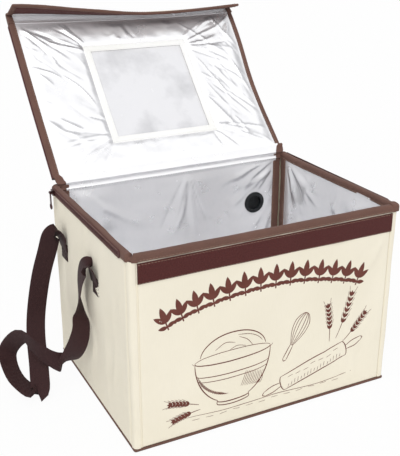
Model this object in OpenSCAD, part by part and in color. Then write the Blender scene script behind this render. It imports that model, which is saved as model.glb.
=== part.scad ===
// Folding dough proofer: four padded foil-lined walls in a ring that folds flat, a base board
// that swings out of the way, a lid with a window, a closing flap, two webbing handles,
// two zips and a cable port. Millimetres, X to the right, Y to the back, Z up.
// The origin is the centre of the footprint, at table level. The lid stands open.

/* [Body] */
// Outer width of the box, left to right
body_w = 436; // [380:1:560]
// Outer depth of the box, front to back
body_d = 325; // [300:1:440]
// Height from the table to the top of the rim
body_h = 300; // [280:1:380]

/* [Panels] */
// Thickness of one padded wall, with its cover and liner
panel_t = 10; // [8:0.5:14]
// Thickness of the outer canvas cover
cover_t = 1.2; // [0.8:0.1:1.6]
// Thickness of the foil liner
liner_t = 1; // [0.6:0.1:1.4]
// Distance from a wall's inner face to the fold line at its corner
fold_gap = 2.2; // [2:0.1:4]
// Thickness of the base board, with its cover and liner
base_t = 4.5; // [4:0.1:6]
// Clearance between the base and the walls above it
base_gap = 0.5; // [0.4:0.1:1]
// Radius of the base board's corners
base_corner_r = 4; // [2:0.5:8]

/* [Binding tape] */
// Thickness of the binding tape
tape_t = 0.8; // [0.5:0.1:1]
// Height of the binding on the rim
rim_h = 10; // [8:0.5:12]
// Width of the binding round the base board
base_tape_w = 8; // [6:0.5:12]
// Width of the tape that seals each liner's upright edges
edge_tape_w = 14; // [8:1:18]

/* [Hook and loop] */
// Height of the loop strip on the front wall
loop_h = 29; // [20:1:38]
// Thickness of the loop strip
loop_t = 2; // [1:0.1:3]
// Thickness of the hook strip on the flap
hook_t = 1.5; // [1:0.1:2.5]
// Canvas showing between the rim binding and the loop strip
loop_drop = 2; // [1:0.5:4]
// Clearance between the hooks and the loops when the flap hangs closed
hook_gap = 0.3; // [0.2:0.1:0.6]

/* [Lid] */
// Thickness of the lid
lid_t = 8; // [7:0.5:10]
// Clearance between the closed lid and the rim
lid_gap = 1.5; // [1.2:0.1:2.5]
// How far the lid stands open, from closed, in degrees
lid_open = 134; // [100:1:150]
// How far the lid's side edges stay inside the box's width
lid_inset = 4; // [2:0.5:8]
// Foil band between the hinge line and the lid's panel
hinge_band = 6; // [5:0.5:9]
// How far the lid's panel stops behind the front face
lid_front_inset = 12; // [8:1:16]
// Width of the binding on the lid's edges
lid_tape_w = 10; // [8:0.5:12]

/* [Window] */
// Clear width of the window
window_w = 172; // [120:1:220]
// Clear length of the window, front to back on the closed lid
window_l = 172; // [100:1:190]
// Distance from the hinge line to the window
window_start = 64; // [45:1:90]
// Width of the hem round the window
window_hem = 12; // [8:1:18]
// How far the pane reaches under the hem
pane_lap = 8; // [5:1:10]
// Thickness of the window pane
pane_t = 0.5; // [0.4:0.1:0.8]

/* [Flap] */
// Length of the flap from its hinge line
flap_l = 48; // [40:1:60]
// Thickness of the flap
flap_t = 3; // [2:0.5:4]
// How far the flap is bent forward from the lid's plane, in degrees
flap_bend = 88; // [60:1:88]
// Free fabric between the flap's hinge line and its sheet
flap_band = 4; // [3:0.5:6]
// How far the flap's ends stay inside the lid's edges
flap_inset = 2; // [1:0.5:6]
// Height of the hook strip
hook_h = 28; // [20:1:34]

/* [Handles] */
// Width of the webbing
webbing_w = 30; // [25:1:34]
// Thickness of the webbing
webbing_t = 1.5; // [1.2:0.1:2]
// Distance between the two sewn ends of a handle, centre to centre
handle_spread = 145; // [130:1:160]
// How far the handle sits behind the middle of its wall
handle_back = 35; // [20:1:40]
// Depth of a sewn end's lower edge below the rim
sewn_drop = 108; // [100:1:120]
// Height of a sewn end
sewn_h = 42; // [30:1:46]

/* [Zips] */
// Width of the zip tape on a wall
zip_w = 12; // [10:0.5:14]
// Thickness of the zip tape
zip_t = 0.8; // [0.6:0.1:1]
// Width of the row of teeth
teeth_w = 2.4; // [2:0.2:3]
// Height of the row of teeth above the tape
teeth_h = 1.2; // [0.8:0.1:1.6]
// Width of the zip tape along the lid
lid_zip_w = 5; // [4:0.5:7]
// Length of a slider
slider_l = 11; // [9:0.5:13]
// Width of a slider
slider_w = 8; // [6:0.5:9]
// Height of a slider's body
slider_h = 3.6; // [3.2:0.1:5]
// Length of a pull, from its pin to the end of its ring
pull_l = 28; // [20:1:34]
// Clearance of a sliding or turning metal part
metal_gap = 0.2; // [0.1:0.05:0.3]

/* [Cable port] */
// Distance of the port's centre from the right side of the body
port_inset = 64; // [54:1:150]
// Height of the port's centre above the table
port_z = 213; // [60:1:230]
// Radius of the port's flanges
port_flange_r = 19.5; // [17:0.5:24]
// Radius of the hole in the wall
port_hole_r = 16; // [12:0.5:16]
// Thickness of the outer flange
port_flange_t = 2; // [1.5:0.1:3]
// Thickness of the inner flange
port_inner_t = 1.6; // [1:0.1:1.8]
// Wall of the port's sleeves
port_wall = 1.5; // [1.2:0.1:2]
// Thickness of the slit membrane
membrane_t = 0.8; // [0.6:0.1:1.2]
// Length of the slit
slit_l = 20; // [12:1:20]

/* [Hidden] */

$fn = 48;

cream = [0.91, 0.89, 0.81];
foil = [0.82, 0.83, 0.85];
foam = [0.55, 0.6, 0.66];
brown = [0.46, 0.35, 0.31];
maroon = [0.35, 0.2, 0.2];
webbing = [0.25, 0.15, 0.16];
black = [0.1, 0.1, 0.11];
clear = [0.9, 0.92, 0.94, 0.5];

// a wall ends this far short of the fold line at its corner
end_gap = 0.25;
// where the fold lines stand
fold_x = body_w / 2 - panel_t - fold_gap;
fold_y = body_d / 2 - panel_t - fold_gap;
long_wall = 2 * (fold_x - end_gap);
short_wall = 2 * (fold_y - end_gap);
wall_bottom = base_t + base_gap;
wall_top = body_h - tape_t;

// the hinge line of the lid, over the middle of the back wall
lid_y = body_d / 2 - panel_t / 2;
lid_z = body_h + lid_gap + lid_t / 2;
lid_under = lid_z - lid_t / 2;
lid_half = body_w / 2 - lid_inset;
lid_front = -body_d / 2 + lid_front_inset;
lid_back = lid_y - hinge_band;
window_back = lid_y - window_start;
window_front = window_back - window_l;

// the hinge line of the flap, on the closed lid
flap_y = -body_d / 2 - loop_t - hook_gap - hook_t - flap_t / 2;
flap_z = lid_z;
flap_half = lid_half - flap_inset;
// the fabric of a hinge band
band_t = 1.2;

// a sewn end's height on the wall and the pivot of its strap, measured out from the wall
sewn_z = body_h - sewn_drop;

// the slider's seat on the zip tape
zip_z = body_h - 0.5 - zip_w / 2;
zip_out = panel_t + tape_t + zip_t;
zip_front_inset = 12;
slider_out = zip_out + metal_gap;
slider_parked = short_wall / 2 - slider_l / 2 - 2;
pin_r = 0.8;
pull_t = 1.4;
pull_w = 4.6;
pull_eye_r = 2.2;
pin_out = slider_out + slider_h + pull_eye_r + metal_gap;
pull_ring_r = 4;
pull_ring_wire = 1;

// The strap's route from its rear end to its front end, for the left side. Each station is
// [out from the wall, behind the handle's middle, below the rim] and then half of the
// webbing's width as a direction: [out, back, up].
strap_route = [
    [[2.4, 72, 72], [0, 1, 0]],
    [[5, 72, 58], [0.1, 1, 0]],
    [[9, 73, 51], [0.4, 0.9, 0]],
    [[15, 74, 49], [0.8, 0.6, 0]],
    [[21, 75, 55], [1, 0.4, 0]],
    [[26, 75, 76], [1, 0.3, 0]],
    [[37, 76, 125], [1, 0.3, 0]],
    [[48, 76, 180], [1, 0.2, 0]],
    [[58, 75, 228], [1, 0.1, 0]],
    [[71, 48, 262], [1, 0, 0.1]],
    [[82, 18, 288], [1, 0.4, 0]],
    [[92, 38, 264], [0.9, 0.3, -0.4]],
    [[102, 66, 224], [0.9, 0.1, -0.7]],
    [[74, 78, 240], [0.3, -0.2, -0.9]],
    [[44, 72, 264], [0.1, -0.3, -1]],
    [[24, 48, 268], [-0.4, -0.4, -0.8]],
    [[15, 24, 270], [-0.8, -0.4, -0.3]],
    [[15, -2, 232], [-0.9, -0.4, 0]],
    [[15, -22, 188], [-0.9, -0.4, 0]],
    [[17, -27, 162], [-0.7, 0.7, 0]],
    [[17, -28, 138], [-0.3, 1, -0.2]],
    [[16, -34, 95], [-0.1, 1, -0.2]],
    [[14, -42, 66], [0, 1, -0.2]],
    [[9, -52, 53], [0, 1, -0.2]],
    [[5, -62, 60], [0, 1, -0.2]],
    [[2.4, -70, 74], [0, 1, -0.1]]
];

// Places a wall's own frame: X along the wall, Y outward from its inner face, Z up
module on_back() {
    translate([0, body_d / 2 - panel_t, 0]) children();
}

module on_front() {
    translate([0, -body_d / 2 + panel_t, 0]) rotate([0, 0, 180]) children();
}

module on_left() {
    translate([-body_w / 2 + panel_t, 0, 0]) rotate([0, 0, 90]) children();
}

module on_right() {
    mirror([1, 0, 0]) on_left() children();
}

// Turns a piece drawn on the closed lid to where the lid stands
module on_lid() {
    translate([0, lid_y, lid_z]) rotate([-lid_open, 0, 0]) translate([0, -lid_y, -lid_z]) children();
}

// Turns a piece drawn on a flap that lies level to where the flap stands
module on_flap() {
    on_lid() translate([0, flap_y, flap_z]) rotate([flap_bend, 0, 0])
        translate([0, -flap_y, -flap_z]) children();
}

// A box between two corners
module block(low, high) {
    translate(low) cube(high - low);
}

// The canvas over a wall's outer face, ends and foot
module wall_cover(length) {
    difference() {
        block([-length / 2, liner_t, wall_bottom], [length / 2, panel_t, wall_top]);
        block([-length / 2 + cover_t, liner_t - 1, wall_bottom + cover_t],
              [length / 2 - cover_t, panel_t - cover_t, wall_top + 1]);
    }
}

// The foam board inside a wall
module wall_core(length) {
    block([-length / 2 + cover_t, liner_t, wall_bottom + cover_t],
          [length / 2 - cover_t, panel_t - cover_t, wall_top]);
}

// The foil on a wall's inner face
module wall_liner(length) {
    block([-length / 2, 0, wall_bottom], [length / 2, liner_t, wall_top]);
}

// The folded tape over a wall's top edge
module rim_tape(length) {
    difference() {
        block([-length / 2, -tape_t, body_h - rim_h], [length / 2, panel_t + tape_t, body_h]);
        block([-length / 2 - 1, 0, body_h - rim_h - 1], [length / 2 + 1, panel_t, wall_top]);
    }
}

// The two upright tapes that seal the liner's ends, up to a given height
module edge_tapes(length, top) {
    for (side = [-1, 1])
        translate([side * (length - edge_tape_w) / 2, 0, 0])
            block([-edge_tape_w / 2, -tape_t, wall_bottom], [edge_tape_w / 2, 0, top]);
}

module wall_binding(length) {
    rim_tape(length);
    edge_tapes(length, body_h - rim_h);
}

// The book spine of canvas round a corner, from one wall's end to the next
module corner_strip(x_side, y_side) {
    leg = panel_t + fold_gap + end_gap;
    bend = 4;
    translate([x_side * body_w / 2, y_side * body_d / 2, 0]) mirror([x_side > 0 ? 1 : 0, 0, 0]) mirror([0, y_side > 0 ? 1 : 0, 0])
        translate([0, 0, wall_bottom]) linear_extrude(body_h - rim_h - wall_bottom) {
            translate([bend, 0]) square([leg - bend, cover_t]);
            translate([0, bend]) square([cover_t, leg - bend]);
            intersection() {
                square(bend);
                translate([bend, bend]) difference() {
                    circle(bend);
                    circle(bend - cover_t);
                }
            }
        }
}

// A round hole through the back wall for the port
module port_hole(radius) {
    translate([port_x, panel_t + 5, port_z]) rotate([90, 0, 0]) cylinder(r = radius, h = panel_t + 10);
}

// A disc or tube on the port's axis, between two depths measured outward from the wall's inner face
module port_ring(outer, inner, from, to) {
    translate([port_x, to, port_z]) rotate([90, 0, 0]) difference() {
        cylinder(r = outer, h = to - from);
        if (inner > 0)
            translate([0, 0, -1]) cylinder(r = inner, h = to - from + 2);
    }
}

// The back wall
module back_cover() {
    color(cream) on_back() difference() {
        wall_cover(long_wall);
        port_hole(port_hole_r);
    }
}

module back_core() {
    color(foam) on_back() difference() {
        wall_core(long_wall);
        port_hole(port_hole_r);
    }
}

module back_liner() {
    color(foil) on_back() difference() {
        wall_liner(long_wall);
        port_hole(port_hole_r);
    }
}

module back_binding() {
    color(brown) on_back() edge_tapes(long_wall, wall_top);
}

// The port: a flanged sleeve from outside, a flanged sleeve from inside, and a slit disc between them
port_x = body_w / 2 - port_inset;
port_sleeve_r = port_hole_r - 0.1;
port_throat_r = port_sleeve_r - 2 * port_wall;
membrane_y = panel_t / 2;

module port_outer_ring() {
    color(black) on_back() union() {
        port_ring(port_flange_r, port_throat_r, panel_t, panel_t + port_flange_t);
        port_ring(port_sleeve_r, port_sleeve_r - port_wall, 0.4, panel_t);
        port_ring(port_sleeve_r - port_wall, port_throat_r, membrane_y + membrane_t, panel_t);
    }
}

module port_inner_ring() {
    color(black) on_back() union() {
        port_ring(port_flange_r, port_throat_r, -port_inner_t, 0);
        port_ring(port_sleeve_r - port_wall - 0.05, port_throat_r, 0, membrane_y);
    }
}

module port_membrane() {
    slit_w = 0.8;
    color(black) on_back() difference() {
        port_ring(port_sleeve_r - port_wall - 0.05, 0, membrane_y, membrane_y + membrane_t);
        translate([port_x, membrane_y + membrane_t / 2, port_z])
            cube([slit_w, membrane_t + 1, slit_l], center = true);
    }
}

// A fabric band in two flat legs, from one end to a fold line along X at the origin and on to the other
function turned(v, a) = [v[0] * cos(a) - v[1] * sin(a), v[0] * sin(a) + v[1] * cos(a)];
function beside(v) = [-v[1], v[0]] / norm(v);
module bent_band(half, from, to) {
    side_1 = beside(-from);
    side_2 = beside(to);
    mitre = (side_1 + side_2) / (1 + side_1 * side_2) * band_t / 2;
    leg_1 = side_1 * band_t / 2;
    leg_2 = side_2 * band_t / 2;
    rotate([90, 0, 90]) linear_extrude(2 * half, center = true)
        polygon([from + leg_1, mitre, to + leg_2, to - leg_2, -mitre, from - leg_1]);
}

// Fabric hinges that the back wall carries
module lid_hinge_strip() {
    color(foil) {
        block([-long_wall / 2, lid_y - panel_t / 2, wall_top],
              [long_wall / 2, lid_y + panel_t / 2, body_h]);
        translate([0, lid_y, lid_z])
            bent_band(long_wall / 2, [0, body_h - lid_z], turned([-hinge_band, 0], -lid_open));
    }
}

module base_hinge_strip() {
    hinge_h = 14;
    color(cream) block([-fold_x + 10, body_d / 2, cover_t], [fold_x - 10, body_d / 2 + tape_t, hinge_h]);
}

module rear_left_strip() {
    color(cream) corner_strip(-1, 1);
}

module rear_right_strip() {
    color(cream) corner_strip(1, 1);
}

// The base board
module base_outline(inset, from, to) {
    w = body_w / 2 - inset;
    d = body_d / 2 - inset;
    r = base_corner_r;
    translate([0, 0, from]) linear_extrude(to - from) {
        square([2 * w, 2 * (d - r)], center = true);
        square([2 * (w - r), 2 * d], center = true);
        for (x = [-1, 1], y = [-1, 1])
            translate([x * (w - r), y * (d - r)]) circle(r);
    }
}

module base_cover() {
    color(cream) base_outline(base_tape_w, 0, tape_t);
}

module base_board() {
    color(foam) base_outline(tape_t, tape_t, base_t - tape_t);
}

module base_liner() {
    color(foil) base_outline(base_tape_w, base_t - tape_t, base_t);
}

module base_binding() {
    color(brown) difference() {
        base_outline(0, 0, base_t);
        base_outline(tape_t, tape_t, base_t - tape_t);
        base_outline(base_tape_w, -1, base_t + 1);
    }
}

// The side walls
module side_zip_tape() {
    front_end = -short_wall / 2 + zip_front_inset;
    color(maroon) {
        block([front_end + zip_w / 2, panel_t + tape_t, zip_z - zip_w / 2],
              [short_wall / 2, zip_out, zip_z + zip_w / 2]);
        translate([front_end + zip_w / 2, zip_out, zip_z]) rotate([90, 0, 0])
            cylinder(r = zip_w / 2, h = zip_t);
        block([front_end + zip_w / 2, zip_out, zip_z - teeth_w / 2],
              [short_wall / 2, zip_out + teeth_h, zip_z + teeth_w / 2]);
    }
}

module side_handle_ends() {
    color(webbing) for (end = [-1, 1])
        translate([handle_back + end * handle_spread / 2, 0, 0])
            block([-webbing_w / 2, panel_t, sewn_z], [webbing_w / 2, panel_t + webbing_t, sewn_z + sewn_h]);
}

module left_cover() {
    color(cream) on_left() wall_cover(short_wall);
}

module left_core() {
    color(foam) on_left() wall_core(short_wall);
}

module left_liner() {
    color(foil) on_left() wall_liner(short_wall);
}

module left_binding() {
    color(brown) on_left() wall_binding(short_wall);
}

module left_zip_tape() {
    on_left() side_zip_tape();
}

module left_handle_ends() {
    on_left() side_handle_ends();
}

module front_left_strip() {
    color(cream) corner_strip(-1, -1);
}

module right_cover() {
    color(cream) on_right() wall_cover(short_wall);
}

module right_core() {
    color(foam) on_right() wall_core(short_wall);
}

module right_liner() {
    color(foil) on_right() wall_liner(short_wall);
}

module right_binding() {
    color(brown) on_right() wall_binding(short_wall);
}

module right_zip_tape() {
    on_right() side_zip_tape();
}

module right_handle_ends() {
    on_right() side_handle_ends();
}

module front_right_strip() {
    color(cream) corner_strip(1, -1);
}

// The front wall
module front_cover() {
    color(cream) on_front() wall_cover(long_wall);
}

module front_core() {
    color(foam) on_front() wall_core(long_wall);
}

module front_liner() {
    color(foil) on_front() wall_liner(long_wall);
}

module front_binding() {
    color(brown) on_front() wall_binding(long_wall);
}

module loop_strip() {
    strip_top = body_h - rim_h - loop_drop;
    color(maroon) on_front()
        block([-long_wall / 2, panel_t, strip_top - loop_h], [long_wall / 2, panel_t + loop_t, strip_top]);
}

// The lid, drawn closed
module window_block(margin, from, to) {
    block([-window_w / 2 - margin, window_front - margin, lid_under + from],
          [window_w / 2 + margin, window_back + margin, lid_under + to]);
}

module lid_layer(inset, from, to) {
    difference() {
        block([-lid_half + inset, lid_front, lid_under + from],
              [lid_half - inset, lid_back, lid_under + to]);
        window_block(0, from - 1, to + 1);
    }
}

module lid_cover() {
    color(cream) on_lid() lid_layer(tape_t, lid_t - cover_t, lid_t);
}

module lid_core() {
    color(foam) on_lid() difference() {
        lid_layer(tape_t, liner_t, lid_t - cover_t);
        window_block(pane_lap, liner_t - 1, liner_t + pane_t);
    }
}

module lid_liner() {
    color(foil) on_lid() lid_layer(tape_t, 0, liner_t);
}

module lid_binding() {
    color(brown) on_lid() difference() {
        block([-lid_half, lid_front, lid_under - tape_t], [lid_half, lid_back, lid_under + lid_t + tape_t]);
        block([-lid_half + tape_t, lid_front - 1, lid_under], [lid_half - tape_t, lid_back + 1, lid_under + lid_t]);
        block([-lid_half + lid_tape_w, lid_front - 1, lid_under - tape_t - 1],
              [lid_half - lid_tape_w, lid_back + 1, lid_under + lid_t + tape_t + 1]);
    }
}

module window_pane() {
    color(clear) on_lid() window_block(pane_lap, liner_t, liner_t + pane_t);
}

module window_hem_frame(from, to) {
    difference() {
        window_block(window_hem, from, to);
        window_block(0, from - 1, to + 1);
    }
}

module window_frame_inner() {
    color(cream) on_lid() window_hem_frame(-tape_t, 0);
}

module window_frame_outer() {
    color(cream) on_lid() window_hem_frame(lid_t, lid_t + tape_t);
}

module lid_zip_tape(side) {
    end_margin = 6;
    color(maroon) on_lid() translate([side * (lid_half + lid_zip_w / 2), 0, 0])
        block([-lid_zip_w / 2, lid_front + end_margin, lid_z - zip_t / 2],
              [lid_zip_w / 2, lid_back, lid_z + zip_t / 2]);
}

module lid_zip_tape_left() {
    lid_zip_tape(-1);
}

module lid_zip_tape_right() {
    lid_zip_tape(1);
}

module flap_hinge_strip() {
    color(cream) on_lid() translate([0, flap_y, flap_z])
        bent_band(flap_half, [lid_front - flap_y, 0], turned([-flap_band, 0], flap_bend));
}

// The flap, drawn level in front of the closed lid
flap_edge_w = 8;
flap_tip = flap_y - flap_l;
flap_root = flap_y - flap_band;

module flap_sheet(from, to) {
    color(from < 0 ? foil : cream) on_flap()
        block([-flap_half + tape_t, flap_tip + tape_t, flap_z + from], [flap_half - tape_t, flap_root, flap_z + to]);
}

module flap_cover() {
    flap_sheet(0, flap_t / 2);
}

module flap_liner() {
    flap_sheet(-flap_t / 2, 0);
}

module flap_binding() {
    half = flap_t / 2;
    color(brown) on_flap() difference() {
        block([-flap_half, flap_tip, flap_z - half - tape_t], [flap_half, flap_root, flap_z + half + tape_t]);
        block([-flap_half + tape_t, flap_tip + tape_t, flap_z - half], [flap_half - tape_t, flap_root + 1, flap_z + half]);
        block([-flap_half + flap_edge_w, flap_tip + flap_edge_w, flap_z - half - 2],
              [flap_half - flap_edge_w, flap_root + 1, flap_z + half + 2]);
    }
}

module hook_strip() {
    color(maroon) on_flap()
        block([-flap_half + flap_edge_w, flap_tip + flap_edge_w, flap_z - flap_t / 2 - hook_t],
              [flap_half - flap_edge_w, flap_tip + flap_edge_w + hook_h, flap_z - flap_t / 2]);
}

// A strap of webbing as one swept ribbon along the route
function unit(v) = v / norm(v);
function station_at(k) = let (p = strap_route[k][0])
    [p[1] + handle_back, panel_t + p[0], body_h - p[2]];
function width_at(k) = let (w = strap_route[k][1]) unit([w[1], w[0], w[2]]);
function travel_at(k) = let (last = len(strap_route) - 1)
    unit(station_at(min(k + 1, last)) - station_at(max(k - 1, 0)));
function ribbon_corners(k) = let (
        across = width_at(k) * webbing_w / 2,
        through = unit(cross(travel_at(k), width_at(k))) * webbing_t / 2
    ) [
        station_at(k) + across + through,
        station_at(k) - across + through,
        station_at(k) - across - through,
        station_at(k) + across - through
    ];

module strap() {
    count = len(strap_route);
    points = [for (k = [0:count - 1]) each ribbon_corners(k)];
    sides = [for (k = [0:count - 2], j = [0:3]) let (n = (j + 1) % 4)
        each [
            [4 * k + j, 4 * k + n, 4 * k + 4 + n],
            [4 * k + j, 4 * k + 4 + n, 4 * k + 4 + j]
        ]];
    last = 4 * (count - 1);
    ends = [[0, 3, 2], [0, 2, 1], [last, last + 1, last + 2], [last, last + 2, last + 3]];
    color(webbing) polyhedron(points, concat(sides, ends), convexity = 10);
}

module left_handle_strap() {
    on_left() strap();
}

module right_handle_strap() {
    on_right() strap();
}

// A slider on the row of teeth, with a bridge pin for its pull
module slider() {
    post_l = 1.6;
    pin_l = slider_l - 2;
    channel_w = teeth_w + 2 * metal_gap;
    color(black) translate([slider_parked, 0, zip_z]) {
        difference() {
            block([-slider_l / 2, slider_out, -slider_w / 2], [slider_l / 2, slider_out + slider_h, slider_w / 2]);
            block([-slider_l / 2 - 1, slider_out - 1, -channel_w / 2],
                  [slider_l / 2 + 1, zip_out + teeth_h + metal_gap, channel_w / 2]);
        }
        for (end = [-1, 1]) translate([end * (pin_l - post_l) / 2, 0, 0])
            block([-post_l / 2, slider_out + slider_h, -pin_r], [post_l / 2, pin_out + pin_r, pin_r]);
        translate([-pin_l / 2, pin_out, 0]) rotate([0, 90, 0]) cylinder(r = pin_r, h = pin_l);
    }
}

// A pull that hangs from the slider's pin and ends in a ring
module pull() {
    ring_z = -pull_l + pull_ring_r + pull_ring_wire;
    color(black) translate([slider_parked, pin_out, zip_z]) difference() {
        union() {
            translate([-pull_w / 2, 0, 0]) rotate([0, 90, 0]) cylinder(r = pull_eye_r, h = pull_w);
            block([-pull_w / 2, -pull_t / 2, ring_z + pull_ring_r], [pull_w / 2, pull_t / 2, 0]);
            translate([0, 0, ring_z]) rotate([90, 0, 0]) rotate_extrude()
                translate([pull_ring_r, 0]) circle(pull_ring_wire);
        }
        translate([-pull_w / 2 - 1, 0, 0]) rotate([0, 90, 0]) cylinder(r = pin_r + metal_gap, h = pull_w + 2);
    }
}

module left_zip_slider() {
    on_left() slider();
}

module right_zip_slider() {
    on_right() slider();
}

module left_zip_pull() {
    on_left() pull();
}

module right_zip_pull() {
    on_right() pull();
}

back_cover();
back_core();
back_liner();
back_binding();
port_outer_ring();
port_inner_ring();
port_membrane();
lid_hinge_strip();
base_hinge_strip();
rear_left_strip();
rear_right_strip();
base_cover();
base_board();
base_liner();
base_binding();
left_cover();
left_core();
left_liner();
left_binding();
left_zip_tape();
left_handle_ends();
front_left_strip();
front_cover();
front_core();
front_liner();
front_binding();
loop_strip();
right_cover();
right_core();
right_liner();
right_binding();
right_zip_tape();
right_handle_ends();
front_right_strip();
lid_cover();
lid_core();
lid_liner();
lid_binding();
window_pane();
window_frame_inner();
window_frame_outer();
lid_zip_tape_left();
lid_zip_tape_right();
flap_hinge_strip();
flap_cover();
flap_liner();
flap_binding();
hook_strip();
left_handle_strap();
right_handle_strap();
left_zip_slider();
right_zip_slider();
left_zip_pull();
right_zip_pull();
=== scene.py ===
"""Looks of a folding dough proofer: a padded canvas box with foil inside, a windowed lid and webbing handles.

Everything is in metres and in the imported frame. The makers work in millimetres inside and scale at the end.
"""
import math

import bmesh
import bpy
import numpy as np
from bpy.props import FloatProperty, FloatVectorProperty, PointerProperty
from mathutils import Matrix, Vector


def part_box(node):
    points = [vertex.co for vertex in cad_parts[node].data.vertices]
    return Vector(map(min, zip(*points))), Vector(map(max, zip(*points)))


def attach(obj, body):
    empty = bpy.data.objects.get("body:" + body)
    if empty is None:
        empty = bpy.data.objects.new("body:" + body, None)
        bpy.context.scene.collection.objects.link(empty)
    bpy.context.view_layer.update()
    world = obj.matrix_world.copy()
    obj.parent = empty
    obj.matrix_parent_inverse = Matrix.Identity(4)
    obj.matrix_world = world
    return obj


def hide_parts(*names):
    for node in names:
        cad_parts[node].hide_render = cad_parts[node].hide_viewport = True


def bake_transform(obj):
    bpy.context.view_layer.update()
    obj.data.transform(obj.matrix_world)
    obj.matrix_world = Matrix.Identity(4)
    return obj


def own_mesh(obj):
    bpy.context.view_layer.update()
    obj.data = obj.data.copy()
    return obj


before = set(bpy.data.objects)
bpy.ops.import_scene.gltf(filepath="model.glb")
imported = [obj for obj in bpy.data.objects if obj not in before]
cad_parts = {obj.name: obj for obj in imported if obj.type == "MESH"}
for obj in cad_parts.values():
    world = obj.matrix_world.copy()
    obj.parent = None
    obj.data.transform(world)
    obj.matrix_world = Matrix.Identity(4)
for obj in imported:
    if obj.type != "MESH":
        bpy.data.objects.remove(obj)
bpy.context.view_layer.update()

bl_info = {
    "name": "Folding dough proofer",
    "version": (1, 0, 0),
    "blender": (4, 5, 0),
    "location": "View3D > Sidebar > Proofer",
    "description": "Dresses the packed proofer with canvas, foil, tape, webbing and zips",
    "category": "Object",
}

MM = 0.001


def node_span(node, axis):
    """Lowest and highest value of a CAD node along an axis, in millimetres."""
    low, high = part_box(node)
    return low[axis] / MM, high[axis] / MM


# Sizes that every maker shares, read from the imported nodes, in millimetres
BODY_W = node_span("base_binding", 0)[1] * 2
BODY_D = node_span("base_binding", 1)[1] * 2
BASE_T = node_span("base_binding", 2)[1]
BODY_H = node_span("front_binding", 2)[1]
WALL_LOW = node_span("front_cover", 2)[0]
LONG_WALL = node_span("front_cover", 0)[1] * 2
SHORT_WALL = node_span("left_cover", 1)[1] * 2
PANEL_T = 10.0
LINER_T = 1.0
TAPE_T = 0.8
RIM_H = 10.0
RIM_SEAT = RIM_H - 3
EDGE_TAPE_W = 14.0
BASE_TAPE_W = 8.0
FOLD_GAP = 2.2
FOLD_X = BODY_W / 2 - PANEL_T - FOLD_GAP
FOLD_Y = BODY_D / 2 - PANEL_T - FOLD_GAP
CORNER_R = PANEL_T + FOLD_GAP
LID_HINGE = (157.5, 305.5)
LID_OPEN = 134.0
LID_T = 8.0
LID_HALF = 214.0
LID_REACH = 308.0
LID_ROOT = 6.0
LID_TAPE_W = 10.0
LID_INSET = 3.4
WINDOW_HALF = 86.0
WINDOW_NEAR = 64.0
WINDOW_FAR = 236.0
WINDOW_HEM = 12.0
FLAP_HALF = 212.0
FLAP_LINE = 325.3
FLAP_ROOT = 4.0
FLAP_TIP = 48.0
FLAP_INSET = 2.4
FLAP_FACE = 1.5
FLAP_TAPE_W = 8.0
HOOK_W = 28.0
LOOP_W = 29.0
# Along the flap, from the middle: its fold line, how deep that lies, and how far the flap leans, in degrees
FLAP_SHAPE = ((-214, 325.3, 4.0, 108), (-170, 325.0, 3.8, 108), (-126, 323.0, 3.6, 114), (-80, 321, 3.2, 120),
              (-47, 320.0, 3.0, 125), (0, 318.8, 2.6, 129), (88, 318.4, 2.4, 130), (150, 318.4, 2.4, 129),
              (190, 319.0, 2.5, 126), (214, 319.5, 2.6, 122))
# Out from the hinge: how far the lid's soft right edge is pulled in
LID_PULL = ((0, -3), (78, -6), (148, -6), (230, 2), (302, 4))
# From the middle: how far the lid's front edge sags towards the hinge
FRONT_SAG = ((-214, 0), (-126, 2), (-47, 4), (0, 5), (88, 5.5), (150, 5), (214, 4))
PORT = (154.0, 213.0)
PORT_HOLE_R = 16.0
HANDLE_BACK = 35.0
HANDLE_SPREAD = 145.0
WEBBING_W = 30.0
WEBBING_T = 1.5
SEWN_LOW = 192.0
SEWN_TOP = 220.0
ZIP_Z = 293.5
ZIP_W = 12.0
CUTTER_DEPTH = 60.0
PRINT_PROUD = 0.16
PRINT_SUNK = 0.35

# Spacing of grid points
CANVAS_STEP = 4.0
FOIL_STEP = 3.2
LID_FOIL_STEP = 2.2
TAPE_STEP = 3.0

# Lines of stitches and of zip coil, by the body that they lie on
SEAMS = {}
TEETH = {}


# Settings

class ProoferSizes(bpy.types.PropertyGroup):
    puff: FloatProperty(name="Puff", default=0.9, min=0, max=3,
                        description="How far a wall's canvas stands proud in its middle, in millimetres")
    crease: FloatProperty(name="Crease", default=1.0, min=0, max=2,
                          description="Height of the foil's creases, as a share of the usual height")
    pucker: FloatProperty(name="Pucker", default=0.28, min=0, max=1,
                          description="Height of the small waves along sewn tape, in millimetres")
    stitch_pitch: FloatProperty(name="Stitch pitch", description="Distance between stitches along a seam",
                                default=0.0046, min=0.002, max=0.01, unit="LENGTH")
    stitch_length: FloatProperty(name="Stitch length", description="Length of one stitch",
                                 default=0.0034, min=0.001, max=0.01, unit="LENGTH")
    thread_radius: FloatProperty(name="Thread radius", description="Half the thickness of the sewing thread",
                                 default=0.00032, min=0.0001, max=0.001, unit="LENGTH")
    tooth_pitch: FloatProperty(name="Tooth pitch", description="Distance between the zip's coil turns",
                               default=0.0022, min=0.001, max=0.006, unit="LENGTH")


def colour_setting(name, description, colour):
    return FloatVectorProperty(name=name, description=description, subtype="COLOR", size=3, min=0, max=1,
                               default=[(c / 255) ** 2.2 for c in colour])


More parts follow.
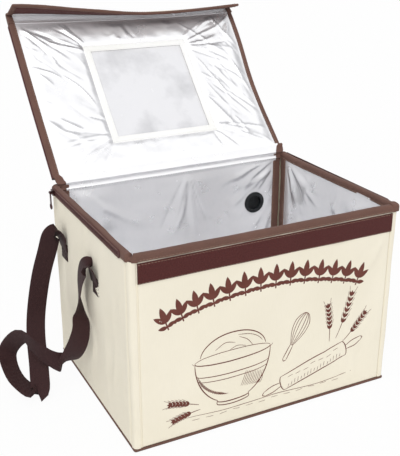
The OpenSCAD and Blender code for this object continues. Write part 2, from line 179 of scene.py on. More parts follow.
class ProoferColours(bpy.types.PropertyGroup):
    canvas: colour_setting("Canvas", "Undyed cotton canvas", (241, 234, 216))
    foil: colour_setting("Foil", "Aluminised liner", (250, 250, 252))
    tape: colour_setting("Binding", "Folded brown tape along the edges", (106, 78, 69))
    pile: colour_setting("Hook and loop", "Hook-and-loop tape", (82, 47, 46))
    webbing: colour_setting("Webbing", "Handle webbing", (56, 36, 37))
    thread: colour_setting("Thread", "Sewing thread", (160, 136, 118))
    ink: colour_setting("Ink", "Printed design on the front", (104, 62, 55))
    hem: colour_setting("Hem", "White tape that holds the window", (254, 254, 253))
    film: colour_setting("Window film", "Clear film of the lid's window", (241, 241, 244))
    black: colour_setting("Port", "Moulded black ring and rubber disc", (30, 33, 35))


class ProoferLight(bpy.types.PropertyGroup):
    world: FloatProperty(name="World", default=0.7, min=0, max=2,
                         description="Brightness of the surroundings on the object")
    key: FloatProperty(name="Key", default=1.22, min=0, max=5,
                       description="Strength of the soft lamp at the upper left")
    focal: FloatProperty(name="Focal length", default=63.88, min=20, max=200,
                         description="Focal length for a 36 mm frame height")


# Shape helpers

def ease(x):
    x = np.clip(x, 0, 1)
    return x * x * (3 - 2 * x)


def grid(a, b):
    return np.meshgrid(a, b, indexing="ij")


def together(*values):
    return np.broadcast_arrays(*(np.asarray(value, float) for value in values))


def soft_table(x, at, values, blur):
    """Values read from a table, with its corners rounded."""
    return sum(np.interp(x + blur * k, at, values) for k in (-1, -0.5, 0, 0.5, 1)) / 5


def hills(u, v, seed, scale, height, count=7):
    """Smooth uneven ground: a fixed sum of sine waves in directions drawn from the seed."""
    rng = np.random.default_rng(seed)
    total = np.zeros(np.broadcast(u, v).shape)
    for _ in range(count):
        angle, phase = rng.uniform(0, 2 * math.pi, 2)
        reach = scale * rng.uniform(0.7, 1.6)
        total = total + np.sin((u * math.cos(angle) + v * math.sin(angle)) * 2 * math.pi / reach + phase)
    return total * height / math.sqrt(count)


def creases(u, v, lines):
    """Soft ridges. Each line is (u0, v0, u1, v1, half width, height, bow)."""
    total = np.zeros(np.broadcast(u, v).shape)
    for u0, v0, u1, v1, width, height, bow in lines:
        du, dv = u1 - u0, v1 - v0
        length = math.hypot(du, dv)
        along = ((u - u0) * du + (v - v0) * dv) / length ** 2
        across = ((u - u0) * dv - (v - v0) * du) / length - bow * np.sin(math.pi * np.clip(along, 0, 1))
        spread = width * (0.55 + 0.9 * np.clip(along, 0, 1))
        fade = ease(along / 0.18) * ease((1 - along) / 0.3)
        total = total + height * fade * np.exp(-(across / spread) ** 2)
    return total


def scattered(seed, count, box, angle, spread, length, width, height):
    """Crease lines strewn over a box (u0, v0, u1, v1) about one direction, in degrees."""
    rng = np.random.default_rng(seed)
    lines = []
    for _ in range(count):
        u, v = rng.uniform(box[0], box[2]), rng.uniform(box[1], box[3])
        turn = math.radians(angle + rng.normal(0, spread))
        reach = length * rng.uniform(0.5, 1.3)
        du, dv = math.cos(turn) * reach / 2, math.sin(turn) * reach / 2
        lines.append((u - du, v - dv, u + du, v + dv, width * rng.uniform(0.6, 1.4),
                      height * rng.uniform(-0.7, 1.0), rng.normal(0, reach * 0.05)))
    return lines


def fan(seed, u, v, angle, spread, count, reach, width, height):
    """Crease lines that start near one point and run out about one direction, in degrees."""
    rng = np.random.default_rng(seed)
    lines = []
    for k in range(count):
        turn = math.radians(angle + spread * (2 * (k + 0.5) / count - 1) + rng.normal(0, spread * 0.12))
        start = rng.uniform(0, 14)
        end = start + reach * rng.uniform(0.6, 1.15)
        c, n = math.cos(turn), math.sin(turn)
        lines.append((u + c * start, v + n * start, u + c * end, v + n * end, width * rng.uniform(0.6, 1.3),
                      height * rng.uniform(0.6, 1.0) * (1 if k % 3 else -0.6), rng.normal(0, reach * 0.04)))
    return lines


def close_solid(obj, sharp=50):
    """Merges doubles, drops loose points and turns every face outward."""
    mesh = obj.data
    bm = bmesh.new()
    bm.from_mesh(mesh)
    bmesh.ops.delete(bm, geom=[p for p in bm.verts if not p.link_faces], context="VERTS")
    bmesh.ops.remove_doubles(bm, verts=bm.verts, dist=2e-6)
    bmesh.ops.dissolve_degenerate(bm, edges=bm.edges, dist=1e-7)
    bmesh.ops.recalc_face_normals(bm, faces=bm.faces)
    bm.to_mesh(mesh)
    bm.free()
    mesh.shade_smooth()
    mesh.set_sharp_from_angle(angle=math.radians(sharp))
    return obj


def xyz(x, y, z):
    """Points from three coordinates, of which some may be single numbers."""
    return np.stack(together(x, y, z), -1)


def linked(name, data):
    obj = bpy.data.objects.new(name, data)
    bpy.context.scene.collection.objects.link(obj)
    return obj


def new_piece(name, points, faces, finish, uv=None):
    mesh = bpy.data.meshes.new(name)
    mesh.from_pydata([tuple(p) for p in points], [], faces)
    mesh.materials.append(finish)
    layer = mesh.uv_layers.new(name="weave")
    if uv is not None:
        loops = np.zeros(len(mesh.loops), np.int32)
        mesh.loops.foreach_get("vertex_index", loops)
        layer.data.foreach_set("uv", np.asarray(uv, np.float32)[loops].ravel())
    return linked(name, mesh)


def shell_parts(outer, inner, keep=None, loop=False):
    """Points, faces and map of a closed sheet between two grids of points, in millimetres.
    keep marks the quads that are there, and loop joins the last column to the first."""
    rows, cols = outer.shape[:2]
    quads = (rows - 1, cols if loop else cols - 1)
    keep = np.ones(quads, bool) if keep is None else keep
    count = rows * cols

    def corner(i, j):
        return i * cols + j % cols

    faces = []
    for i, j in np.argwhere(keep):
        a, b, c, d = corner(i, j), corner(i + 1, j), corner(i + 1, j + 1), corner(i, j + 1)
        faces.append((a, b, c, d))
        faces.append((count + d, count + c, count + b, count + a))
        sides = (((i, j - 1), a, b), ((i + 1, j), b, c), ((i, j + 1), c, d), ((i - 1, j), d, a))
        for (r, s), p, q in sides:
            if loop:
                s %= quads[1]
            if not (0 <= r < quads[0] and 0 <= s < quads[1] and keep[r, s]):
                faces.append((q, p, count + p, count + q))
    step_i = np.linalg.norm(np.diff(outer, axis=0), axis=2).mean(1)
    step_j = np.linalg.norm(np.diff(outer, axis=1), axis=2).mean(0)
    along_i = np.concatenate([[0], np.cumsum(step_i)])
    along_j = np.concatenate([[0], np.cumsum(step_j)])
    uv = np.stack(np.meshgrid(along_j, along_i), -1).reshape(-1, 2) * MM
    points = np.concatenate([outer.reshape(-1, 3), inner.reshape(-1, 3)]) * MM
    return points, faces, np.concatenate([uv, uv])


def shell(name, outer, inner, finish, keep=None, loop=False, sharp=50, folds=None):
    points, faces, uv = shell_parts(outer, inner, keep, loop)
    piece = new_piece(name, points, faces, finish, uv)
    # These grids give the foil's painted reflection streaks: painted shade and painted highlight from how the
    # folds lean.
    if folds is not None:
        mark_folds(piece, *folds)
    return close_solid(piece, sharp)


def joined_shells(name, parts, finish, sharp=50):
    """One piece from several sheets, each a pair of grids."""
    points, faces, maps, start = [], [], [], 0
    for outer, inner in parts:
        p, f, uv = shell_parts(outer, inner)
        points.append(p)
        maps.append(uv)
        faces += [tuple(start + k for k in face) for face in f]
        start += len(p)
    piece = new_piece(name, np.concatenate(points), faces, finish, np.concatenate(maps))
    return close_solid(piece, sharp)


def mark_folds(piece, u, z, lift, lean=(0.45, -0.9), gain=3.0):
    """Stores on each point a painted reflection value from how its fold leans: painted shade on folds that
    lean one way and a painted highlight on those that lean the other, for the foil's darker and brighter
    streaks.
    """
    slope_u = np.gradient(lift, axis=0) / np.maximum(np.gradient(u, axis=0), 0.2)
    slope_z = np.gradient(lift, axis=1) / np.maximum(np.gradient(z, axis=1), 0.2)
    # Painted reflection: 0.5 is plain, lower is painted shade, higher is painted highlight; the back face
    # keeps 0.5.
    shade = np.clip(0.5 + gain * (lean[0] * slope_u + lean[1] * slope_z), 0, 1).ravel()
    layer = piece.data.attributes.new("fold", "FLOAT", "POINT")
    layer.data.foreach_set("value", np.concatenate([shade, np.full(len(shade), 0.5)]).astype(np.float32))


def settle(piece, body, slot, *nodes):
    """Hides the CAD nodes that a finished piece stands for and hangs the piece on its body's empty. The slot
    is only read to give foil pieces a painted reflection value; it is not given to the piece. A body given as
    a bend, with two bodies and two points, is not used: such a piece is only baked in place.
    """
    # Foil without its own painted reflection streaks gets one even painted reflection value of 0.55.
    if slot == "foil" and "fold" not in piece.data.attributes:
        layer = piece.data.attributes.new("fold", "FLOAT", "POINT")
        layer.data.foreach_set("value", np.full(len(piece.data.vertices), 0.55, np.float32))
    if nodes:
        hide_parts(*nodes)
    if isinstance(body, str):
        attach(piece, body)
    else:
        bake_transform(piece)
    return piece


def on_wall(wall, u, v, z):
    """Points of a wall, from the distance along it, outward from its inner face, and up."""
    u, v, z = together(u, v, z)
    inner_x, inner_y = BODY_W / 2 - PANEL_T, BODY_D / 2 - PANEL_T
    if wall == "back":
        return np.stack([u, inner_y + v, z], -1)
    if wall == "front":
        return np.stack([-u, -inner_y - v, z], -1)
    if wall == "left":
        return np.stack([-inner_x - v, u, z], -1)
    return np.stack([inner_x + v, u, z], -1)


def flat_lid(x, w, t):
    """Points of the lid as a flat board: from its middle, out from its hinge, and from its inner face."""
    y, z = -w, t - LID_T / 2
    angle = math.radians(-LID_OPEN)
    ca, sa = math.cos(angle), math.sin(angle)
    return np.stack([x, LID_HINGE[0] + y * ca - z * sa, LID_HINGE[1] + y * sa + z * ca], -1)


def on_lid(x, w, t):
    """Points of the lid as it hangs, with its front edge sagging and its right edge pulled in."""
    x, w, t = together(x, w, t)
    at, pull = np.array(LID_PULL, float).T
    place, sag = np.array(FRONT_SAG, float).T
    w = w - soft_table(x, place, sag, 30) * ease((w - WINDOW_FAR) / (LID_REACH - WINDOW_FAR))
    x = x + soft_table(w, at, pull, 24) * ease((x - WINDOW_HALF) / (LID_HALF - WINDOW_HALF))
    return flat_lid(x, w, t)


def flap_fold(x):
    """Where the flap's fold line lies, how deep, and how far the flap leans, in radians."""
    at, line, deep, lean = np.array(FLAP_SHAPE, float).T
    return (soft_table(x, at, line, 30), soft_table(x, at, deep, 30),
            np.radians(soft_table(x, at, lean, 30) + 1.2 * np.sin(x / 31.0)))


def on_flap(x, w, t):
    """Points of the flap, from the middle, out from its fold line, and through its thickness."""
    x, w, t = together(x, w, t)
    line, deep, lean = flap_fold(x)
    return on_lid(x, line + w * np.cos(lean) + t * np.sin(lean), deep - w * np.sin(lean) + t * np.cos(lean))


def stations(low, high, step):
    return np.linspace(low, high, max(2, int(round((high - low) / step)) + 1))


def round_fold(v0, v1, z0, z1, r, steps=5):
    """A folded tape's section: up one side, over a rounded top and down the other."""
    points = [(v1, z0), (v1, (z0 + z1 - r) / 2)]
    for k in range(steps + 1):
        a = math.pi / 2 * k / steps
        points.append((v1 - r + r * math.cos(a), z1 - r + r * math.sin(a)))
    points.append(((v0 + v1) / 2, z1))
    for k in range(steps + 1):
        a = math.pi / 2 * k / steps
        points.append((v0 + r - r * math.sin(a), z1 - r + r * math.cos(a)))
    points += [(v0, (z0 + z1 - r) / 2), (v0, z0)]
    return np.array(points)


def seam(body, points):
    """Notes a line of points, in millimetres, for the stitches of a body."""
    SEAMS.setdefault(body, []).append(np.asarray(points, float) * MM)


def seam_lines(body, corners, count, place):
    """Notes the straight lines from corner to corner. place puts the points of a line in the frame."""
    for start, end in zip(corners, corners[1:]):
        line = np.linspace(start, end, count)
        seam(body, place(line[:, 0], line[:, 1]))


# Finishes

class Finish:
    """A material under construction: a Principled shader and short calls for the nodes in front of it."""

    def __init__(self, name, colour, roughness, metallic=0.0, **sockets):
        self.material = bpy.data.materials.new(name)
        self.material.use_nodes = True
        self.nodes = self.material.node_tree.nodes
        self.links = self.material.node_tree.links
        self.shader = self.nodes["Principled BSDF"]
        self.colour = tuple(colour) + (1.0,)
        self.set(self.shader, {"Base Color": self.colour, "Roughness": roughness, "Metallic": metallic,
                               **sockets})
        self.bump_end = None

    def set(self, node, values):
        for key, value in values.items():
            if isinstance(value, bpy.types.NodeSocket):
                self.links.new(value, node.inputs[key])
            else:
                node.inputs[key].default_value = value
        return node

    def node(self, kind, values=None, **attributes):
        made = self.nodes.new(kind)
        for key, value in attributes.items():
            setattr(made, key, value)
        return self.set(made, values or {})

    def surface(self):
        return self.node("ShaderNodeUVMap", uv_map="weave").outputs[0]

    def space(self):
        return self.node("ShaderNodeTexCoord").outputs["Object"]

    def noise(self, where, scale, detail=3.0, roughness=0.5):
        return self.node("ShaderNodeTexNoise", {"Vector": where, "Scale": scale, "Detail": detail,
                                                "Roughness": roughness}).outputs[0]

    def bands(self, where, direction, scale, distortion=0.0):
        return self.node("ShaderNodeTexWave", {"Vector": where, "Scale": scale, "Distortion": distortion},
                         bands_direction=direction).outputs[1]

    def stretched(self, where, scale, turn=(0, 0, 0)):
        return self.node("ShaderNodeMapping", {"Vector": where, "Scale": scale, "Rotation": turn}).outputs[0]

    def math(self, operation, a, b):
        return self.node("ShaderNodeMath", {0: a, 1: b}, operation=operation).outputs[0]

    def mixed(self, a, share_a, b, share_b):
        return self.math("ADD", self.math("MULTIPLY", a, share_a), self.math("MULTIPLY", b, share_b))

    def span(self, value, low, high):
        return self.node("ShaderNodeMapRange", {"Value": value, "To Min": low, "To Max": high}).outputs[0]

    def tone(self, value, stops):
        """Colour from a value, by factors of the finish's own colour at each stop."""
        ramp = self.node("ShaderNodeValToRGB", {"Fac": value})
        elements = ramp.color_ramp.elements
        for k, (at, factors) in enumerate(stops):
            element = elements[k] if k < 2 else elements.new(at)
            element.position = at
            element.color = [min(1.0, c * f) for c, f in zip(self.colour[:3], factors)] + [1.0]
        self.links.new(ramp.outputs[0], self.shader.inputs["Base Color"])

    def bump(self, height, distance, strength=1.0):
        values = {"Height": height, "Distance": distance, "Strength": strength}
        if self.bump_end is not None:
            values["Normal"] = self.bump_end
        self.bump_end = self.node("ShaderNodeBump", values).outputs[0]
        self.links.new(self.bump_end, self.shader.inputs["Normal"])

    def rough(self, value, low, high):
        self.links.new(self.span(value, low, high), self.shader.inputs["Roughness"])


def canvas_finish(name, colour):
    f = Finish(name, colour, 0.85, **{"Sheen Weight": 0.12, "Specular IOR Level": 0.25})
    cloth = f.surface()
    warp, weft = f.bands(cloth, "X", 190), f.bands(cloth, "Y", 190)
    threads = f.math("MAXIMUM", warp, weft)
    slubs = f.noise(f.stretched(cloth, (60, 900, 1)), 1.0, 2)
    cloud = f.noise(f.space(), 9, 3)
    f.tone(f.mixed(cloud, 0.7, slubs, 0.3), [(0.3, (0.955, 0.95, 0.925)), (0.7, (1.02,) * 3)])
    f.rough(slubs, 0.78, 0.92)
    f.bump(threads, 0.00012, 0.6)
    f.bump(slubs, 0.00008, 0.5)
    return f.material


def foil_finish(colours):
    f = Finish("aluminised_foil", colours.foil, 0.28, 0.5, **{"Specular IOR Level": 0.6})
    cloth, room = f.surface(), f.space()
    # The foil's colour follows the painted reflection value: painted shade down to half its colour where
    # folds lean one way, a painted highlight where they lean the other, with random noise for tone.
    fold = f.node("ShaderNodeAttribute", attribute_name="fold").outputs["Fac"]
    crush = f.noise(room, 34, 3, 0.5)
    fine = f.noise(room, 150, 3, 0.6)
    cloud = f.noise(room, 6, 2)
    f.tone(f.mixed(fold, 0.7, f.math("ADD", cloud, fine), 0.15),
           [(0.08, (0.5, 0.5, 0.51)), (0.42, (0.96, 0.96, 0.965)), (0.56, (1.03,) * 3)])
    f.rough(crush, 0.16, 0.34)
    f.bump(crush, 0.0011, 0.4)
    f.bump(fine, 0.00015, 0.3)
    f.bump(f.math("MAXIMUM", f.bands(cloth, "X", 260), f.bands(cloth, "Y", 260)), 0.00004, 0.4)
    return f.material


def ribbed_finish(name, colour, rib, cross, roughness=0.8, contrast=0.2):
    """Woven tape: ribs across it, finer threads along it, and a little unevenness."""
    f = Finish(name, colour, roughness, **{"Sheen Weight": 0.04, "Specular IOR Level": 0.3})
    cloth = f.surface()
    ribs, threads = f.bands(cloth, "X", rib, 0.6), f.bands(cloth, "Y", cross)
    speck = f.noise(f.stretched(cloth, (500, 500, 1)), 1.0, 2)
    cloud = f.noise(f.space(), 22, 3)
    f.tone(f.mixed(cloud, 0.5, speck, 0.5), [(0.3, (1 - contrast,) * 3), (0.7, (1 + contrast,) * 3)])
    f.rough(speck, roughness - 0.1, roughness + 0.1)
    f.bump(f.mixed(ribs, 0.7, threads, 0.3), 0.00016, 0.8)
    f.bump(speck, 0.0001, 0.5)
    return f.material


def pile_finish(name, colour, rows):
    """Hook-and-loop tape: a nap of tiny loops, or hooks in rows."""
    f = Finish(name, colour, 0.95, **{"Sheen Weight": 0.1, "Specular IOR Level": 0.12})
    cloth = f.surface()
    nap = f.noise(f.stretched(cloth, (620, 620, 1)), 1.0, 3, 0.65)
    tufts = f.node("ShaderNodeTexVoronoi", {"Vector": cloth, "Scale": rows}).outputs[0]
    f.tone(nap, [(0.32, (0.66, 0.62, 0.62)), (0.72, (1.5, 1.35, 1.3))])
    f.rough(nap, 0.85, 1.0)
    f.bump(tufts, 0.0007, 0.7)
    f.bump(nap, 0.0006, 0.8)
    return f.material


def webbing_finish(colours):
    f = Finish("handle_webbing", colours.webbing, 0.75, **{"Sheen Weight": 0.05, "Specular IOR Level": 0.25})
    cloth = f.surface()
    slant_a = f.bands(f.stretched(cloth, (1, 1, 1), (0, 0, 0.8)), "X", 150)
    slant_b = f.bands(f.stretched(cloth, (1, 1, 1), (0, 0, -0.8)), "X", 150)
    column = f.bands(cloth, "Y", 42)
    weave = f.node("ShaderNodeMix", {0: column, 2: slant_a, 3: slant_b}).outputs[0]
    speck = f.noise(f.stretched(cloth, (420, 420, 1)), 1.0, 2)
    f.tone(f.mixed(weave, 0.5, speck, 0.5), [(0.2, (0.72, 0.7, 0.72)), (0.8, (1.35, 1.28, 1.25))])
    f.rough(speck, 0.6, 0.9)
    f.bump(weave, 0.00035, 0.8)
    f.bump(speck, 0.00015, 0.5)
    return f.material


def film_finish(colours):
    f = Finish("window_film", colours.film, 0.16, **{"Alpha": 0.74, "Specular IOR Level": 0.6, "IOR": 1.48})
    room = f.space()
    smudge = f.noise(room, 14, 4, 0.6)
    haze = f.noise(room, 5, 2)
    f.tone(f.mixed(smudge, 0.5, haze, 0.5), [(0.34, (0.72, 0.72, 0.73)), (0.5, (1.02,) * 3)])
    f.rough(smudge, 0.08, 0.36)
    f.bump(smudge, 0.0012, 0.5)
    return f.material


def moulded_finish(name, colour, low, high, metallic=0.0, grain=900, wear=1.25):
    """Moulded or enamelled parts: fine grain, and a lighter tone where they are rubbed."""
    f = Finish(name, colour, (low + high) / 2, metallic, **{"Specular IOR Level": 0.5})
    room = f.space()
    fine = f.noise(room, grain, 3)
    cloud = f.noise(room, 60, 3)
    f.tone(cloud, [(0.3, (0.85,) * 3), (0.75, (wear,) * 3)])
    f.rough(fine, low, high)
    f.bump(fine, 0.00006, 0.5)
    return f.material


def ink_finish(colours):
    f = Finish("brown_print", colours.ink, 0.8, **{"Specular IOR Level": 0.2})
    cloth = f.surface()
    speck = f.noise(f.space(), 700, 2)
    cloud = f.noise(f.space(), 40, 3)
    f.tone(f.mixed(cloud, 0.5, speck, 0.5), [(0.3, (0.85, 0.82, 0.82)), (0.7, (1.3, 1.35, 1.35))])
    f.rough(speck, 0.7, 0.9)
    f.bump(f.bands(cloth, "X", 190), 0.00006, 0.5)
    return f.material


FINISHES = {}


def make_finishes(colours):
    FINISHES.update({
        "canvas": canvas_finish("undyed_canvas", colours.canvas),
        "hem": canvas_finish("white_hem", colours.hem),
        "foil": foil_finish(colours),
        "tape": ribbed_finish("brown_binding", colours.tape, 230, 420),
        "zip": ribbed_finish("zip_tape", colours.pile, 300, 300, 0.8, 0.15),
        "loop": pile_finish("loop_pile", colours.pile, 900),
        "hook": pile_finish("hook_rows", colours.pile, 620),
        "webbing": webbing_finish(colours),
        "film": film_finish(colours),
        "thread": ribbed_finish("sewing_thread", colours.thread, 900, 900, 0.7, 0.1),
        "ink": ink_finish(colours),
        "plastic": moulded_finish("port_plastic", colours.black, 0.35, 0.5),
        "rubber": moulded_finish("port_rubber", [c * 0.7 for c in colours.black], 0.6, 0.8, grain=500),
        "enamel": moulded_finish("zip_enamel", [c * 1.6 for c in colours.webbing], 0.25, 0.45, 0.75,
                                 400, 1.8),
    })


# Walls

# Each wall's length and the seed of its folds
WALLS = {"back": (LONG_WALL, 11), "front": (LONG_WALL, 23),
         "left": (SHORT_WALL, 37), "right": (SHORT_WALL, 41)}


def edge_distance(u, z, length, low, high):
    return np.minimum(np.minimum(u + length / 2, length / 2 - u), np.minimum(z - low, high - z))


def canvas_height(wall, u, z, puff):
    """How far out a wall's canvas stands: rounded at its edges, proud in the middle, with slack folds."""
    length, seed = WALLS[wall]
    half, mid, tall = length / 2, (WALL_LOW + BODY_H) / 2, BODY_H - WALL_LOW
    crown = np.clip(1 - (u / half) ** 2, 0, 1) ** 0.5
    crown = crown * np.clip(1 - ((z - mid) / (tall / 2)) ** 2, 0, 1) ** 0.5
    edge = edge_distance(u, z, length, WALL_LOW, BODY_H)
    roll = 2.4 * (1 - np.sqrt(np.clip(1 - (1 - np.clip(edge / 4, 0, 1)) ** 2, 0, 1)))
    slack = hills(u, z, seed, 150, 0.6) + hills(u * 1.4, z * 0.5, seed + 1, 60, 0.28)
    lines = scattered(seed + 2, 9, (-half, 40, half, 260), 84, 12, 170, 9, 1.2)
    lines += scattered(seed + 3, 8, (-half, 20, half, 120), 55, 40, 80, 6, 0.7)
    lines += fan(seed + 4, -half + 4, 262, 300, 26, 4, 84, 4.5, 1.1)
    lines += fan(seed + 5, half - 4, 262, 240, 26, 4, 84, 4.5, 1.1)
    return PANEL_T - roll + puff * crown + (slack + creases(u, z, lines)) * ease(edge / 22)


def make_wall_canvas(wall, sizes):
    length, _ = WALLS[wall]
    u = stations(-length / 2, length / 2, CANVAS_STEP)
    top = BODY_H - (TAPE_T if wall == "back" else RIM_SEAT)
    z = stations(WALL_LOW, top, CANVAS_STEP)
    u = np.sort(np.concatenate([u, u[[0, 0, -1, -1]] + [1, 2.4, -1, -2.4]]))
    z = np.sort(np.concatenate([z, z[[0, 0]] + [1, 2.4]]))
    grid_u, grid_z = grid(u, z)
    limit = PANEL_T + 4 - 5.4 * ease((grid_z - BODY_H + RIM_H + 6) / 6)
    height = np.minimum(canvas_height(wall, grid_u, grid_z, sizes.puff), limit)
    piece = shell(f"{wall}_canvas", on_wall(wall, grid_u, height, grid_z),
                  on_wall(wall, grid_u, LINER_T, grid_z), FINISHES["canvas"])
    if wall == "back":
        punch(piece)
    settle(piece, f"{wall}_wall", "canvas", f"{wall}_cover", f"{wall}_core")
    return piece


def punch(piece):
    """Cuts the cable port's round hole through a back-wall piece."""
    bm = bmesh.new()
    place = Matrix.Translation(Vector((PORT[0], BODY_D / 2 - PANEL_T / 2, PORT[1])) * MM)
    bmesh.ops.create_cone(bm, cap_ends=True, segments=48, radius1=PORT_HOLE_R * MM, radius2=PORT_HOLE_R * MM,
                          depth=CUTTER_DEPTH * MM, matrix=place @ Matrix.Rotation(math.pi / 2, 4, "X"))
    mesh = bpy.data.meshes.new("port_cutter")
    bm.to_mesh(mesh)
    bm.free()
    cutter = linked("port_cutter", mesh)
    cut = piece.modifiers.new("port", "BOOLEAN")
    cut.object = cutter
    cut.operation = "DIFFERENCE"
    cut.solver = "EXACT"
    bake(piece)
    bpy.data.objects.remove(cutter)
    bpy.data.meshes.remove(mesh)
    piece.data.shade_smooth()
    piece.data.set_sharp_from_angle(angle=math.radians(50))


def bake(piece):
    """Replaces a piece's mesh by what its modifiers make of it."""
    bpy.context.view_layer.update()
    graph = bpy.context.evaluated_depsgraph_get()
    made = bpy.data.meshes.new_from_object(piece.evaluated_get(graph), depsgraph=graph)
    old = piece.data
    piece.modifiers.clear()
    piece.data = made
    made.name = piece.name
    bpy.data.meshes.remove(old)
    return piece


FOIL_FOLDS = {
    "back": scattered(5, 10, (-200, 60, 200, 290), 88, 8, 190, 13, 1.5) + [
        (195, 292, 120, 232, 5, 1.9, 5), (200, 276, 128, 246, 4, 1.6, -3), (203, 240, 172, 190, 4, 1.5, 3),
        (204, 262, 176, 238, 3.5, 1.3, 2), (198, 205, 168, 120, 6, 1.6, 4),
        (-196, 290, -120, 200, 9, 1.6, -6)]
    + fan(12, 200, 292, 222, 34, 9, 120, 3.6, 1.7) + fan(13, 20, 294, 262, 30, 6, 110, 4, 1.3)
    + fan(14, -190, 294, 300, 28, 6, 130, 4.5, 1.4),
    "front": scattered(6, 10, (-200, 40, 200, 290), 86, 10, 170, 12, 1.5),
    "left": scattered(7, 8, (-140, 40, 140, 290), 85, 12, 170, 12, 1.5),
    "right": scattered(8, 10, (-140, 120, 140, 292), 78, 14, 130, 9, 1.6) + [
        (138, 290, 60, 250, 6, 1.8, 5), (60, 292, 84, 200, 8, 1.5, 3), (-30, 292, -8, 230, 7, 1.5, 3)]
    + fan(15, 132, 292, 232, 30, 8, 110, 3.4, 1.6) + fan(16, -120, 292, 300, 30, 6, 110, 4, 1.3),
}


def make_wall_foil(wall, sizes):
    length, seed = WALLS[wall]
    top = BODY_H - (TAPE_T if wall == "back" else RIM_SEAT)
    u, z = stations(-length / 2, length / 2, FOIL_STEP), stations(WALL_LOW, top, FOIL_STEP)
    grid_u, grid_z = grid(u, z)
    edge = np.minimum(length / 2 - np.abs(grid_u), np.minimum(grid_z - WALL_LOW, top - grid_z) + 5)
    rise = hills(grid_u, grid_z * 0.55, seed + 50, 120, 0.75) + creases(grid_u, grid_z, FOIL_FOLDS[wall])
    rise += hills(grid_u, grid_z, seed + 51, 34, 0.12)
    free = ease((edge - 9) / 26)
    if wall == "back":
        free = free * ease((np.hypot(grid_u - PORT[0], grid_z - PORT[1]) - 20) / 22)
    lift = np.clip(0.3 + (0.9 + rise) * sizes.crease, 0, 3.2) * free
    # The wall foil's darker and brighter streaks are painted reflection, drawn from how each crease leans.
    piece = shell(f"{wall}_foil", on_wall(wall, grid_u, -lift, grid_z),
                  on_wall(wall, grid_u, LINER_T + 0.6, grid_z), FINISHES["foil"],
                  folds=(grid_u, grid_z, lift))
    if wall == "back":
        punch(piece)
    settle(piece, f"{wall}_wall", "foil", f"{wall}_liner")
    return piece


def strip(place, along, across, face, thickness, round_by=0.35, wave=None):
    """Grids of a flat tape between its stations. place puts (along, across, height) in the frame."""
    grid_a, grid_c = grid(along, across)
    edge = np.minimum(grid_c - across[0], across[-1] - grid_c)
    height = face + thickness * (1 - round_by * (1 - ease(edge / 1.2)))
    if wave is not None:
        height = height + wave(grid_a, grid_c)
    return place(grid_a, grid_c, height), place(grid_a, grid_c, np.full_like(grid_a, face - 0.05))


def pucker_wave(seed, height):
    return lambda a, c: height * (np.sin(a / 2.1 + seed) * 0.35 + np.sin(a / 5.3 + seed * 2) * 0.4
                                  + np.sin(a / 17.0 + seed * 3))


def tape_stations(low, high, step=3.0):
    inset = min(1.2, (high - low) / 5)
    return np.sort(np.concatenate([stations(low, high, step), [low + inset, high - inset]]))


def make_wall_tape(wall, sizes):
    """Folded tape over a wall's rim and upright tapes inside its ends."""
    length, seed = WALLS[wall]
    wave = pucker_wave(seed, sizes.pucker)
    parts = []
    rim_low = BODY_H - RIM_H
    if wall != "back":
        u = stations(-length / 2, length / 2, 2.6)
        outline = round_fold(-TAPE_T, PANEL_T + TAPE_T, rim_low, BODY_H, 4.2)
        inside = round_fold(-0.05, PANEL_T + 0.05, rim_low, BODY_H - TAPE_T, 3.6)
        grid_u = np.repeat(u[None, :], len(outline), 0)
        v, z = outline[:, :1] + 0 * grid_u, outline[:, 1:] + 0 * grid_u
        sway = 0.5 * np.sin(u / 47.0 + seed) + 0.3 * np.sin(u / 19.0)
        out = np.sign(v - PANEL_T / 2) * wave(grid_u, v) * 0.8 + sway
        drop = wave(grid_u + 9, z) * 0.5 + 0.5 * np.sin(u / 61.0 + seed)
        outer = on_wall(wall, grid_u, v + out, z + np.minimum(drop, 0.4))
        grid_v, grid_z = inside[:, :1] + 0 * grid_u, inside[:, 1:] + 0 * grid_u
        parts.append((outer, on_wall(wall, grid_u, grid_v + sway, grid_z + np.minimum(drop, 0.4))))
        for v_side in (-TAPE_T, PANEL_T + TAPE_T):
            line_v = v_side + math.copysign(0.12, v_side) + sway + math.copysign(1, v_side) * wave(u, 0) * 0.8
            seam(f"{wall}_wall", on_wall(wall, u, line_v, rim_low + 1.8 + np.minimum(drop[0], 0.4)))
    top = BODY_H - TAPE_T if wall == "back" else rim_low
    for side in (-1, 1):
        near, far = sorted((side * length / 2, side * (length / 2 - EDGE_TAPE_W)))
        parts.append(strip(lambda a, c, h: on_wall(wall, c, -h, a), stations(WALL_LOW, top, 3.0),
                           tape_stations(near, far), 0, TAPE_T + 0.2, wave=wave))
        z = stations(WALL_LOW + 2, top - 2, 3.0)
        along = side * (length / 2 - EDGE_TAPE_W + 1.8)
        seam(f"{wall}_wall", on_wall(wall, along, -1.1 - wave(z, 0), z))
    piece = joined_shells(f"{wall}_binding_tape", parts, FINISHES["tape"], 60)
    return settle(piece, f"{wall}_wall", "binding", f"{wall}_binding")


# Corners

def squared_arc(turn, power):
    """Reach of a squarish rounded corner at a turn from one leg, as a share of the leg."""
    c, s = np.abs(np.cos(turn)), np.abs(np.sin(turn))
    return 1 / (c ** power + s ** power) ** (1 / power)


def corner_points(x_side, y_side, turn, reach, z):
    """Points about a corner's fold line. Turn 0 points across the side wall, 90 across the other wall."""
    return xyz(x_side * (FOLD_X + reach * np.cos(turn)), y_side * (FOLD_Y + reach * np.sin(turn)), z)


